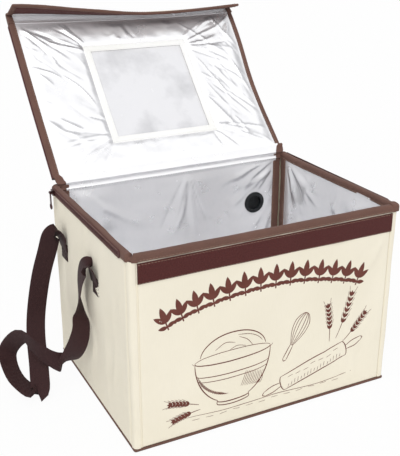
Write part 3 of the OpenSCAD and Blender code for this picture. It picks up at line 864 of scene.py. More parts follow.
def corner_spine(name, x_side, y_side, shrink=0.0):
    """The canvas round a corner, with a soft upright crease along each seam."""
    turn = np.radians(np.linspace(-2.5, 92.5, 29))
    z = stations(WALL_LOW, BODY_H - RIM_H + 1, CANVAS_STEP)
    grid_t, grid_z = grid(turn, z)
    reach = (CORNER_R - 0.5 - shrink) * squared_arc(np.clip(grid_t, 0, math.pi / 2), 4.0)
    seat = np.minimum(grid_t, math.pi / 2 - grid_t) * CORNER_R
    groove = 1.5 * np.exp(-((seat - 0.6) / 1.0) ** 2)
    sag = 0.35 * np.sin(grid_z / 37.0 + x_side + 2 * y_side) + 0.2 * np.sin(grid_z / 13.0 + grid_t * 2)
    reach = reach - groove + sag * ease(seat / 4)
    outer = corner_points(x_side, y_side, grid_t, reach, grid_z)
    inner = corner_points(x_side, y_side, grid_t, reach - 1.1, grid_z)
    return shell(name, outer, inner, FINISHES["canvas"])


def corner_wrap(name, x_side, y_side, shrink=0.0, bulk=0.0, notch=0.0):
    """The rim's folded tape where it goes round a corner."""
    outline = round_fold(-TAPE_T, PANEL_T + TAPE_T, BODY_H - RIM_H, BODY_H, 4.2)
    inside = round_fold(-0.05, PANEL_T + 0.05, BODY_H - RIM_H, BODY_H - TAPE_T, 3.6)
    turn = np.radians(np.linspace(-3, 93, 21))
    grids = []
    for section, out in ((outline, 0.35), (inside, 0.2)):
        grid_t = np.repeat(turn[None, :], len(section), 0)
        v, z = section[:, :1] + 0 * grid_t, section[:, 1:] + 0 * grid_t
        square = squared_arc(np.clip(grid_t, 0, math.pi / 2), 3.0)
        bunch = 0.35 * np.sin(grid_t * 9 + x_side) * (v > 4)
        hump = np.sin(2 * np.clip(grid_t, 0, math.pi / 2))
        side = np.where(v > PANEL_T / 2, out + bulk * hump - 0.6 * notch * hump ** 3, -out)
        lift = out + 0.7 * bulk - 0.3 * shrink + 0.3 * np.sin(grid_t * 6) - notch * hump ** 3
        grids.append(corner_points(x_side, y_side, grid_t, (FOLD_GAP + v + side + bunch - shrink) * square,
                                   z + lift * (z > BODY_H - 5)))
    return shell(name, grids[0], grids[1], FINISHES["tape"], sharp=70)


CORNERS = {
    "rear_left": (-1, 1, "back_wall", "left_wall"),
    "rear_right": (1, 1, "back_wall", "right_wall"),
    "front_left": (-1, -1, "left_wall", "front_wall"),
}


def beside_corner(wall, x_side, y_side):
    """The point of a wall where the canvas round a corner begins to bend."""
    if wall in ("back_wall", "front_wall"):
        return x_side * (FOLD_X - 1), y_side * BODY_D / 2, BODY_H / 2
    return x_side * BODY_W / 2, y_side * (FOLD_Y - 1), BODY_H / 2


def make_corners():
    """Three corners run round from one wall to the other; their pieces are baked in place and hang on neither
    wall. The fourth is open: each of its walls carries a layer.
    """
    for name, (x_side, y_side, first, second) in CORNERS.items():
        bend = (first, second, beside_corner(first, x_side, y_side), beside_corner(second, x_side, y_side))
        settle(corner_spine(f"{name}_spine", x_side, y_side), bend, "canvas", f"{name}_strip")
        dip = 4.0 if name == "front_left" else 0.0
        settle(corner_wrap(f"{name}_rim_wrap", x_side, y_side, notch=dip), bend, "binding")
    settle(corner_spine("front_right_spine", 1, -1), "front_wall", "canvas", "front_right_strip")
    settle(corner_spine("front_right_spine_under", 1, -1, 1.3), "right_wall", "canvas")
    settle(corner_wrap("front_right_rim_wrap", 1, -1, bulk=1.8), "front_wall", "binding")
    settle(corner_wrap("front_right_rim_wrap_under", 1, -1, 1.0), "right_wall", "binding")


# Base

def ring(half_w, half_d, radius, step=5.0, turns=5):
    """Stations round a rounded rectangle: anchors, outward directions and mitre directions."""
    anchors, outs, mitres = [], [], []
    w, d = half_w - radius, half_d - radius
    for x_side, y_side, start in ((1, 1, 0), (-1, 1, 90), (-1, -1, 180), (1, -1, 270)):
        for k in range(turns):
            a = math.radians(start + 90 * k / (turns - 1))
            anchors.append((x_side * w, y_side * d))
            outs.append((math.cos(a), math.sin(a)))
            mitres.append((x_side, y_side))
        start_at, end_at = np.array([x_side * w, y_side * d]), np.array([-y_side * w, x_side * d])
        a = math.radians(start + 90)
        pieces = int(np.linalg.norm(end_at - start_at) // step)
        for k in range(1, pieces):
            anchors.append(tuple(start_at + (end_at - start_at) * k / pieces))
            outs.append((math.cos(a), math.sin(a)))
            mitres.append((math.cos(a), math.sin(a)))
    return np.array(anchors), np.array(outs), np.array(mitres)


def ring_offset(path, radius, inset):
    """Plan points at a distance inward from a path's edge."""
    anchors, outs, mitres = path
    return anchors + np.where(inset <= radius, outs * (radius - inset), mitres * (radius - inset))


def edge_fold(width, low, high, r, thick):
    """A folded edge tape's section as (inset, height), from the lower side round the edge to the upper."""
    outer = [(width, low), (width * 0.5, low - 0.05), (r, low)]
    inner = [(width, low + thick), (width * 0.5, low + thick), (r, low + thick)]
    for k in range(7):
        a = math.pi * (k / 6 - 0.5)
        mid, rise = (low + high) / 2, (high - low) / 2
        outer.append((r - r * math.cos(a), mid + rise * math.sin(a)))
        inner.append((r - (r - thick) * math.cos(a), mid + (rise - thick) * math.sin(a)))
    outer += [(r, high), (width * 0.5, high + 0.05), (width, high)]
    inner += [(r, high - thick), (width * 0.5, high - thick), (width, high - thick)]
    return np.array(outer), np.array(inner)


def make_base_tape():
    r = 4.0
    path = ring(BODY_W / 2, BODY_D / 2, r)
    outer, inner = edge_fold(BASE_TAPE_W, 0.0, BASE_T, 1.8, TAPE_T)
    grids = []
    for section in (outer, inner):
        plan = np.stack([ring_offset(path, r, inset) for inset, _ in section])
        z = np.repeat(section[:, 1:2], plan.shape[1], 1)
        grids.append(np.concatenate([plan, z[..., None]], -1))
    piece = shell("base_edge_tape", grids[0], grids[1], FINISHES["tape"], loop=True, sharp=60)
    settle(piece, "base", "binding", "base_binding")


def make_base(sizes):
    """The base's tape, its canvas and foil, and the canvas band that it hangs on."""
    make_base_tape()
    half_w, half_d = BODY_W / 2 - BASE_TAPE_W, BODY_D / 2 - BASE_TAPE_W
    grid_x, grid_y = grid(stations(-half_w, half_w, 5), stations(-half_d, half_d, 5))
    edge = np.minimum(half_w - np.abs(grid_x), half_d - np.abs(grid_y))
    under = 0.05 + 0.5 * ease(edge / 12) * (0.5 + 0.5 * hills(grid_x, grid_y, 3, 90, 0.6))
    board = BASE_T - TAPE_T
    piece = shell("base_canvas", xyz(grid_x, grid_y, np.clip(under, 0.05, 1.2)), xyz(grid_x, grid_y, board),
                  FINISHES["canvas"])
    settle(piece, "base", "canvas", "base_cover", "base_board")

    lines = scattered(4, 12, (-200, -140, 200, 140), 20, 60, 120, 9, 0.8)
    rise = hills(grid_x, grid_y, 9, 110, 0.5) + creases(grid_x, grid_y, lines)
    lift = BASE_T + np.clip(0.25 + (0.3 + rise) * sizes.crease, 0, 1.8) * ease((edge - 7) / 20)
    piece = shell("base_foil", xyz(grid_x, grid_y, lift), xyz(grid_x, grid_y, board + 0.02),
                  FINISHES["foil"])
    settle(piece, "base", "foil", "base_liner")

    band = strip(lambda a, c, h: xyz(a, BODY_D / 2 + h, c), stations(-FOLD_X + 10, FOLD_X - 10, 4),
                 tape_stations(0.8, 14.0, 2.0), 0.05, TAPE_T, wave=pucker_wave(4, 0.1))
    bend = ("back_wall", "base", (0, BODY_D / 2, 12), (0, BODY_D / 2, 2))
    settle(shell("base_hinge_canvas", *band, FINISHES["canvas"]), bend, "canvas", "base_hinge_strip")
    x = stations(-FOLD_X + 12, FOLD_X - 12, 4)
    seam("back_wall", xyz(x, BODY_D / 2 + 1.1, 12.4))


# Lid

LID_FOLDS = (
    scattered(201, 24, (-204, 70, -98, 290), -46, 11, 92, 2.5, 1.7)
    + scattered(202, 30, (96, 50, 204, 280), -52, 13, 96, 2.4, 1.8)
    + fan(101, -84, 66, 206, 40, 7, 110, 3.0, 1.5) + fan(102, 84, 66, 322, 36, 9, 118, 2.8, 1.7)
    + fan(103, -84, 234, 140, 34, 8, 112, 3.2, 1.8) + fan(104, 84, 234, 10, 44, 10, 120, 3.0, 1.8)
    + fan(105, -208, 300, 312, 22, 7, 120, 2.8, 1.5) + fan(106, 208, 300, 222, 30, 5, 90, 3.0, 1.3)
    + scattered(203, 16, (-160, 16, 180, 60), 22, 12, 84, 2.8, 1.2)
    + scattered(112, 8, (-70, 250, 70, 296), 96, 16, 44, 4.5, 1.0))


def frame_stations(low, high, hole_low, hole_high, step):
    """Stations that have a window's edges among them."""
    return np.unique(np.concatenate([stations(low, hole_low, step), stations(hole_low, hole_high, step),
                                     stations(hole_high, high, step)]))


def lid_grid(step, half, low, high):
    x = frame_stations(-half, half, -WINDOW_HALF, WINDOW_HALF, step)
    w = frame_stations(low, high, WINDOW_NEAR, WINDOW_FAR, step)
    grid_x, grid_w = grid(x, w)
    mid_x, mid_w = (x[1:] + x[:-1]) / 2, (w[1:] + w[:-1]) / 2
    keep = ~((np.abs(mid_x)[:, None] < WINDOW_HALF) & ((mid_w > WINDOW_NEAR) & (mid_w < WINDOW_FAR))[None, :])
    hem = np.maximum(np.abs(grid_x) - WINDOW_HALF, np.maximum(WINDOW_NEAR - grid_w, grid_w - WINDOW_FAR))
    return grid_x, grid_w, keep, hem


def lid_bow(x, w):
    """The lid's own slight warp, which all its layers share."""
    return 2.2 * np.sin(math.pi * np.clip(w / LID_REACH, 0, 1)) * (0.4 + 0.3 * np.cos(x / 90.0)) \
        + 1.4 * (x / LID_HALF) ** 2 * ease(w / 200) * np.sin(w / 70.0)


def make_lid(sizes):
    half, high = LID_HALF - LID_INSET, LID_REACH
    grid_x, grid_w, keep, hem = lid_grid(CANVAS_STEP, half, LID_ROOT, high)
    bow = lid_bow(grid_x, grid_w)
    edge = np.minimum(half - np.abs(grid_x), np.minimum(grid_w - LID_ROOT, high - grid_w))
    free = ease((edge - 8) / 25) * ease((hem - 8) / 22)
    lines = scattered(62, 14, (-200, 20, 200, 300), 30, 50, 110, 9, 0.8)
    slack = hills(grid_x, grid_w, 61, 120, 0.6) + creases(grid_x, grid_w, lines)
    outer = on_lid(grid_x, grid_w, LID_T + bow + (0.5 + slack) * free)
    inner = on_lid(grid_x, grid_w, LINER_T + bow)
    piece = shell("lid_canvas", outer, inner, FINISHES["canvas"], keep)
    settle(piece, "lid", "canvas", "lid_cover", "lid_core")

    grid_x, grid_w, keep, hem = lid_grid(LID_FOIL_STEP, half, LID_ROOT, high)
    bow = lid_bow(grid_x, grid_w)
    edge = np.minimum(half - np.abs(grid_x), np.minimum(grid_w - LID_ROOT + 4, high - grid_w))
    free = ease((edge - 7) / 18) * ease((hem - 9) / 12)
    rise = creases(grid_x, grid_w, LID_FOLDS)
    rise = rise + hills(grid_x, grid_w, 71, 90, 0.7) + hills(grid_x, grid_w, 72, 26, 0.16)
    rise += creases(grid_x, grid_w, scattered(73, 30, (-200, 15, 200, 300), 90, 70, 50, 3, 0.6))
    lift = np.clip(0.5 + (1.4 + rise) * sizes.crease, 0, 4.6) * free
    face = on_lid(grid_x, grid_w, bow - lift)
    back = on_lid(grid_x, grid_w, bow + LINER_T - 0.05)
    # The lid foil's darker and brighter streaks are painted reflection: painted shade and painted highlight
    # from how each crease leans.
    piece = shell("lid_foil", face, back, FINISHES["foil"], keep, folds=(grid_x, grid_w, lift, (0.75, 0.65)))
    settle(piece, "lid", "foil", "lid_liner")
    make_lid_tape(sizes)


def make_lid_tape(sizes):
    """Folded tape over the lid's two side edges. The front edge has none: canvas and foil go over it."""
    outer, inner = edge_fold(LID_TAPE_W, -TAPE_T, LID_T + TAPE_T, 3.4, TAPE_T)
    w = stations(LID_ROOT, LID_REACH + 1, 3.0)
    wave = pucker_wave(8, sizes.pucker)(w, 0)
    parts = []
    for side in (-1, 1):
        grids = []
        for section, live in ((outer, 1.0), (inner, 0.0)):
            t = section[:, 1:2] + np.sign(section[:, 1:2] - LID_T / 2) * live * (0.25 + 0.8 * wave[None, :])
            x = side * (LID_HALF - section[:, :1]) + 0 * t
            grids.append(on_lid(x, w[None, :] + 0 * t, t + lid_bow(x, w[None, :])))
        parts.append(grids)
        x = side * (LID_HALF - LID_TAPE_W + 1.6)
        for t, out in ((-TAPE_T, -0.4), (LID_T + TAPE_T, 0.4)):
            seam("lid", on_lid(x, w, t + out + lid_bow(x, w)))
    settle(joined_shells("lid_edge_tape", parts, FINISHES["tape"], 60), "lid", "binding", "lid_binding")


def make_window():
    """The film and the two hems that hold it."""
    lap = 8.0
    x = stations(-WINDOW_HALF - lap, WINDOW_HALF + lap, 4)
    w = stations(WINDOW_NEAR - lap, WINDOW_FAR + lap, 4)
    grid_x, grid_w = grid(x, w)
    inside = np.minimum(WINDOW_HALF - np.abs(grid_x), np.minimum(grid_w - WINDOW_NEAR, WINDOW_FAR - grid_w))
    swell = (0.7 * hills(grid_x, grid_w, 81, 80, 0.8)
             + creases(grid_x, grid_w,
                        scattered(82, 9, (-80, 70, 80, 225), 60, 50, 70, 8, 0.8))) * ease(inside / 24)
    t = LINER_T + swell + lid_bow(grid_x, grid_w)
    piece = shell("window_film", on_lid(grid_x, grid_w, t), on_lid(grid_x, grid_w, t + 0.5), FINISHES["film"])
    settle(piece, "lid", "window_film", "window_pane")
    x, w, keep, hem = lid_grid(3, WINDOW_HALF + WINDOW_HEM, WINDOW_NEAR - WINDOW_HEM, WINDOW_FAR + WINDOW_HEM)
    pad = ease(np.minimum(hem, WINDOW_HEM - hem) / 3)
    rise = 0.45 + 0.5 * pad + 0.12 * np.sin((x + w) / 3.1) * pad
    bow = lid_bow(x, w)
    for name, face, out in (("inner", 0.0, -1), ("outer", LID_T, 1)):
        piece = shell(f"window_hem_{name}", on_lid(x, w, face + out * rise + bow),
                      on_lid(x, w, face - out * 0.6 + bow), FINISHES["hem"], keep)
        settle(piece, "lid", "canvas", f"window_frame_{name}")
        for inset in (2.0, WINDOW_HEM - 2.0):
            a, b, c = WINDOW_HALF + inset, WINDOW_NEAR - inset, WINDOW_FAR + inset
            seam_lines("lid.pale", ((-a, b), (a, b), (a, c), (-a, c), (-a, b)), 60,
                       lambda at, reach: on_lid(at, reach, face + out * 1.0 + lid_bow(at, reach)))


# The back rim's section that the lid's foil band follows: proud of the inner face, and up
RIDGE = [(-0.7, 286.0), (-0.9, 288.6), (-1.1, 290.4), (-3.0, 292.0), (-1.2, 293.8), (-0.8, 297.0),
         (-0.6, 300.4), (-2.2, 302.4), (-0.2, 304.4), (1.4, 306.4)]


def make_lid_hinge():
    """The foil band of the lid with its end tapes."""
    x = stations(-1, 1, TAPE_STEP / LONG_WALL * 2)
    wave = pucker_wave(6, 0.35)
    inner_y = BODY_D / 2 - PANEL_T
    lid_side = [tuple(on_lid(0, w, t)[1:]) for w, t in ((4.5, -0.9), (6.5, -1.7), (9.5, -0.9))]
    lid_back = [tuple(on_lid(0, w, t)[1:]) for w, t in ((5.0, 1.4), (7.0, 1.2), (9.5, 0.4))]
    face = [(inner_y + out, z) for out, z in RIDGE] + lid_side
    back = [(inner_y + max(out, -0.4) + 1.6, z - 0.1 * k) for k, (out, z) in enumerate(RIDGE)] + lid_back
    last = len(face) - 1
    half = np.interp(np.arange(last + 1), (0, 8, last),
                     (LONG_WALL / 2 - 6, LONG_WALL / 2 - 6, LONG_WALL / 2 - 1))
    bend = ("back_wall", "lid", (0, LID_HINGE[0], 301.0), (0, LID_HINGE[0] + 3.6, 309.6))

    def band(across, proud):
        grids = []
        for section, out in ((face, proud), (back, 0.0)):
            rows = []
            for k, (y, z) in enumerate(section):
                live = 0.3 if k in (0, last) else 1
                at = across(k)
                rows.append(xyz(at, y - out + 0.5 * live * wave(at, 0),
                                z - out * (k >= len(RIDGE)) + 0.4 * live * wave(at + 20, 0)))
            grids.append(np.array(rows))
        return grids

    front, rear = band(lambda k: x * half[k], 0.0)
    # Painted reflection on the hinge foil: painted shade below its ridges and painted highlight above them.
    folds = (front[..., 2], front[..., 0], inner_y - front[..., 1], (-1, 0), 0.5)
    piece = shell("lid_hinge_foil", front, rear, FINISHES["foil"], folds=folds)
    settle(piece, bend, "foil", "lid_hinge_strip")
    seam("back_wall.pale", xyz(x * half[2], inner_y - 1.6, 290.2))
    ends = []
    edge = LONG_WALL / 2
    for side in (-1, 1):
        near = np.interp(np.arange(last + 1), (0, 8, last), (edge - 9, edge - 9, LID_HALF - LID_TAPE_W))
        far = np.interp(np.arange(last + 1), (0, 5, 8, last), (edge, edge, edge + 6, LID_HALF + 0.2))
        span = np.linspace(0, 1, 6)
        ends.append(band(lambda k: (side * (near[k] + (far[k] - near[k]) * span))[::side], 0.9))
    settle(joined_shells("lid_hinge_end_tapes", ends, FINISHES["tape"], 60), bend, "binding")


def make_flap_hinge():
    """The canvas and foil bands of the flap with their end tapes."""
    bend = ("lid", "flap", flat_lid(0, LID_REACH - 1, LID_T / 2), flat_lid(0, LID_REACH + 8, LID_T / 2))
    over, under = flap_band(stations(-FLAP_HALF, FLAP_HALF, TAPE_STEP), 0.0)
    piece = shell("flap_hinge_canvas", over[0], over[1], FINISHES["canvas"])
    settle(piece, bend, "canvas", "flap_hinge_strip")
    settle(shell("flap_hinge_foil", under[0], under[1], FINISHES["foil"]), bend, "foil")
    ends = []
    for side in (-1, 1):
        over, under = flap_band(np.linspace(side * LID_HALF, side * (LID_HALF - LID_TAPE_W), 5)[::-side], 0.8)
        ends.append((under[0], over[0]))
    settle(joined_shells("flap_hinge_end_tapes", ends, FINISHES["tape"], 60), bend, "binding")


def flap_band(x, proud):
    """Outer and inner sheets of the band between lid and flap, each as front and back grids."""
    wave = pucker_wave(6, 0.35)
    line, deep, _ = flap_fold(x)
    gap = (line - LID_REACH) / (FLAP_LINE - LID_REACH)
    share = np.array([0, 0.25, 0.5, 0.75, 1])[:, None]
    bow = lid_bow(x, LID_REACH)
    crown_w, crown_t = line + 2.5 - 4 * gap, 7.5 - 2 * gap
    soft = (1 - share) ** 0.6

    def arch(start, crown, end):
        return (1 - share) ** 2 * start + 2 * share * (1 - share) * crown + share ** 2 * end

    over_w = arch(LID_REACH - 4, crown_w, line + 0.75)
    over_t = arch(LID_T + 0.3 + bow, crown_t, deep)
    under_w = (1 - share) * (LID_REACH - 5) + share * (line - 0.75)
    under_t = soft * (bow - 0.6) + (1 - soft) * deep + 0.25 * wave(x, 0) * np.sin(math.pi * share)
    tails = (0.8, FLAP_ROOT + 2.5)
    sheets = []
    for w, t, side in ((over_w, over_t, 1), (under_w, under_t, -1)):
        for depth in (proud, -0.7):
            tail = 0.85 + proud if depth == proud else 0.05
            sheets.append(np.concatenate([on_lid(x, w + 0.5 * depth, t + side * depth),
                                          [on_flap(x, at, side * tail) for at in tails]]))
    return sheets[:2], sheets[2:]


def soften_flap(piece):
    """Gives a flap piece its own copy of its mesh."""
    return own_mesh(piece)


def make_flap(sizes):
    half, low, high = FLAP_HALF - FLAP_INSET, FLAP_ROOT, FLAP_TIP - FLAP_INSET
    grid_x, grid_w = grid(stations(-half, half, CANVAS_STEP), stations(low, high, 2.5))
    edge = np.minimum(half - np.abs(grid_x), np.minimum(grid_w - low + 4, high - grid_w))
    swell = (0.3 + hills(grid_x, grid_w, 91, 70, 0.35)) * ease(edge / 12)
    piece = shell("flap_canvas", on_flap(grid_x, grid_w, FLAP_FACE + swell), on_flap(grid_x, grid_w, 0.05),
                  FINISHES["canvas"])
    settle(piece, "flap", "canvas", "flap_cover")
    soften_flap(piece)
    shine = (0.2 + hills(grid_x, grid_w, 92, 50, 0.3)) * ease(edge / 10)
    piece = shell("flap_foil", on_flap(grid_x, grid_w, -FLAP_FACE - shine), on_flap(grid_x, grid_w, -0.05),
                  FINISHES["foil"])
    soften_flap(settle(piece, "flap", "foil", "flap_liner"))
    pile_top = FLAP_TIP - FLAP_TAPE_W
    pile_x = tape_stations(-FLAP_HALF + FLAP_TAPE_W, FLAP_HALF - FLAP_TAPE_W, TAPE_STEP)
    pile_w = tape_stations(pile_top - HOOK_W, pile_top, 2.0)
    nap = strip(lambda a, c, h: on_flap(a, c, -h), pile_x, pile_w, FLAP_FACE, 1.5,
                wave=lambda a, c: 0.12 * np.sin(a * 1.9) * np.sin(c * 2.3))
    soften_flap(settle(shell("hook_pile", *nap, FINISHES["hook"]), "flap", "hook_and_loop", "hook_strip"))
    make_flap_tape(sizes)


def flap_edge_path(r):
    """Stations along the flap's three bound sides: anchors, outward directions and mitres, in (x, w)."""
    half, tip = FLAP_HALF - r, FLAP_TIP - r
    side = stations(FLAP_ROOT, tip - 2, TAPE_STEP)
    path = [((-half, w), (-1, 0), (-1, 0)) for w in side]
    path += [((-half, tip), (math.cos(a), math.sin(a)), (-1, 1))
             for a in np.radians(180 - 22.5 * np.arange(5))]
    path += [((x, tip), (0, 1), (0, 1)) for x in stations(-half + 3, half - 3, TAPE_STEP)]
    path += [((half, tip), (math.cos(a), math.sin(a)), (1, 1)) for a in np.radians(90 - 22.5 * np.arange(5))]
    path += [((half, w), (1, 0), (1, 0)) for w in side[::-1]]
    return tuple(np.array(path, float).transpose(1, 0, 2))


def make_flap_tape(sizes):
    r, out = 3.0, FLAP_FACE + TAPE_T
    path = flap_edge_path(r)
    outer, inner = edge_fold(FLAP_TAPE_W, -out, out, 1.9, TAPE_T)
    count = len(path[0])
    run = np.arange(count) * TAPE_STEP
    grids = []
    for section, live in ((outer, 1.0), (inner, 0.0)):
        plan = np.stack([ring_offset(path, r, inset) for inset, _ in section])
        t = np.repeat(section[:, 1:2], count, 1)
        t = t + np.sign(t) * live * (pucker_wave(13, sizes.pucker)(run[None, :], 0) * 0.6 + 0.2)
        grids.append(on_flap(plan[..., 0], plan[..., 1], t))
    piece = shell("flap_edge_tape", grids[0], grids[1], FINISHES["tape"], sharp=60)
    soften_flap(settle(piece, "flap", "binding", "flap_binding"))
    line = ring_offset(path, r, FLAP_TAPE_W - 1.5)
    for t in (-out - 0.35, out + 0.35):
        seam("flap", on_flap(line[:, 0], line[:, 1], t))


# Fastenings

def make_loop_strip():
    top = BODY_H - RIM_H - 2
    nap = strip(lambda a, c, h: on_wall("front", a, h, c),
                tape_stations(-LONG_WALL / 2, LONG_WALL / 2, TAPE_STEP),
                tape_stations(top - LOOP_W, top, 2.0), PANEL_T - 0.6, 2.5,
                wave=lambda a, c: 0.1 * np.sin(a * 1.7) * np.sin(c * 2.1) + 0.25 * np.sin(a / 23.0))
    settle(shell("loop_pile", *nap, FINISHES["loop"]), "front_wall", "hook_and_loop", "loop_strip")
    u = stations(-LONG_WALL / 2 + 2, LONG_WALL / 2 - 2, TAPE_STEP)
    for z in (top - 1.4, top - 27.6):
        seam("front_wall", on_wall("front", u, PANEL_T + 2.05 + 0.25 * np.sin(u / 23.0), z))


def make_wall_zip(wall, sizes):
    """The zip's tape along a side rim, rounded at its front end, and the line of its coil."""
    front_end, radius, out = -SHORT_WALL / 2 + 12, ZIP_W / 2, PANEL_T + TAPE_T
    u = np.concatenate([front_end + radius * (1 - np.cos(np.linspace(0, math.pi / 2, 8))),
                        stations(front_end + radius + 2, SHORT_WALL / 2, TAPE_STEP)])
    half = np.concatenate([radius * np.sin(np.linspace(0.15, math.pi / 2, 8)), np.full(len(u) - 8, radius)])
    grid_u, share = grid(u, np.linspace(-1, 1, 9))
    grid_z = ZIP_Z + half[:, None] * share
    wave = pucker_wave(3, sizes.pucker)(grid_u, 0)
    piece = shell(f"{wall}_zip", on_wall(wall, grid_u, out + 0.9 + 0.4 * wave, grid_z),
                  on_wall(wall, grid_u, out - 0.4, grid_z), FINISHES["zip"])
    settle(piece, f"{wall}_wall", "zip_tape", f"{wall}_zip_tape")
    line = stations(front_end + 8, SHORT_WALL / 2 - 1, 4)
    TEETH[f"{wall}_wall"] = [on_wall(wall, line, out + 1.3, ZIP_Z) * MM]
    for z in (ZIP_Z - 4.4, ZIP_Z + 4.4):
        seam(f"{wall}_wall", on_wall(wall, line, out + 1.1, z))


def make_lid_zips():
    """The zip's tapes along the lid's side edges, bent round them, and the lines of their coil."""
    TEETH["lid"] = []
    w = stations(LID_ROOT, LID_REACH - 6, TAPE_STEP)
    bend_x, bend_t = np.array([(0.2, 4.0), (0.9, 6.0), (0.8, 8.2), (-0.6, 9.9), (-2.6, 10.2), (-5.4, 10.1)]).T
    grid_w, grid_k = grid(w, np.arange(len(bend_x)))
    for side, name in ((-1, "left"), (1, "right")):
        x = side * (LID_HALF + bend_x[grid_k])
        t = bend_t[grid_k] + 0.3 * np.sin(grid_w / 21.0) * (grid_k > 2) + lid_bow(x, grid_w)
        piece = shell(f"lid_zip_{name}", on_lid(x + side * 0.45, grid_w, t + 0.4),
                      on_lid(x - side * 0.45, grid_w, t - 0.4), FINISHES["zip"])
        settle(piece, "lid", "zip_tape", f"lid_zip_tape_{name}")
        line_x = side * (LID_HALF - 4.9) + 0 * w
        TEETH["lid"].append(on_lid(line_x, w, 10.9 + 0.3 * np.sin(w / 21.0) + lid_bow(line_x, w)) * MM)


def make_port_lips():
    """The rubber lips that close the cable port's slit."""
    (x0, y0, z0), (x1, y1, z1) = [[c / MM for c in corner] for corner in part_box("port_membrane")]
    mid_x, mid_z = (x0 + x1) / 2, (z0 + z1) / 2
    z = stations(mid_z - 0.42 * (z1 - z0), mid_z + 0.42 * (z1 - z0), 1.5)
    parts = []
    for side in (-1, 1):
        x = mid_x + side * np.array([-0.25, 0.6, 1.6, 2.6])
        grid_x, grid_z = grid(x, z)
        swell = 0.5 * ease(1 - np.abs(grid_x - mid_x) / 2.4)
        parts.append((xyz(grid_x, y0 - 0.15 - swell, grid_z), xyz(grid_x, y1 + 0.15 + swell, grid_z)))
    settle(joined_shells("port_slit_lips", parts, FINISHES["rubber"], 60), "back_wall", "port_rubber")


# Handles

# The strap's route: [out from the wall, behind the middle, below the rim], then the way its width points
STRAP_ROUTE = [
    ((2.4, 71, 89), (0, 1, 0)), ((5, 70, 74), (0.1, 1, 0)), ((9, 69, 64), (0.4, 0.9, 0)),
    ((15, 72, 61), (0.8, 0.6, 0)), ((21, 76, 68), (1, 0.4, 0)), ((26, 83, 92), (1, 0.3, 0)),
    ((37, 94, 141), (1, 0.3, 0)), ((48, 97, 201), (1, 0.3, 0)), ((58, 73, 235), (1, 0.3, 0)),
    ((72, 14, 262), (1, 0.3, 0)), ((83, -12, 284), (1, 0.5, 0)), ((106, 26, 274), (0.9, 0.3, -0.4)),
    ((108, 64, 246), (0.9, 0.1, -0.7)), ((92, 26, 201), (0.4, -0.2, -0.9)), ((76, 12, 217), (0.1, -0.3, -1)),
    ((58, -3, 234), (-0.4, -0.4, -0.8)), ((40, -22, 235), (-0.8, -0.4, -0.5)),
    ((28, -46, 200), (-0.9, -0.4, 0)), ((20, -50, 168), (-0.9, 0.2, 0)), ((17, -37, 148), (-0.7, 0.7, 0)),
    ((16, -35, 121), (-0.3, 1, -0.1)), ((15, -43, 91), (-0.1, 1, -0.1)), ((13, -57, 69), (0, 1, -0.2)),
    ((9, -66, 64), (0, 1, -0.2)), ((5, -70, 75), (0, 1, -0.1)), ((2.4, -71, 89), (0, 1, 0)),
]
# Where the strap's bend at its roots begins and ends: out from the wall, and up
STRAP_BEND = ((3.0, 211.0), (14.4, 209.3))


def smooth_route(knots, per_span):
    """A curve through every knot, with the same number of points in each span."""
    knots = np.asarray(knots, float)
    padded = np.concatenate([2 * knots[:1] - knots[1:2], knots, 2 * knots[-1:] - knots[-2:-1]])
    out = []
    for k in range(len(knots) - 1):
        p0, p1, p2, p3 = padded[k:k + 4]
        for s in np.arange(per_span) / per_span:
            out.append(0.5 * (2 * p1 + (p2 - p0) * s + (2 * p0 - 5 * p1 + 4 * p2 - p3) * s ** 2
                              + (3 * p1 - p0 - 3 * p2 + p3) * s ** 3))
    out.append(knots[-1])
    return np.array(out)


def unit(rows):
    return rows / np.linalg.norm(rows, axis=1)[:, None]


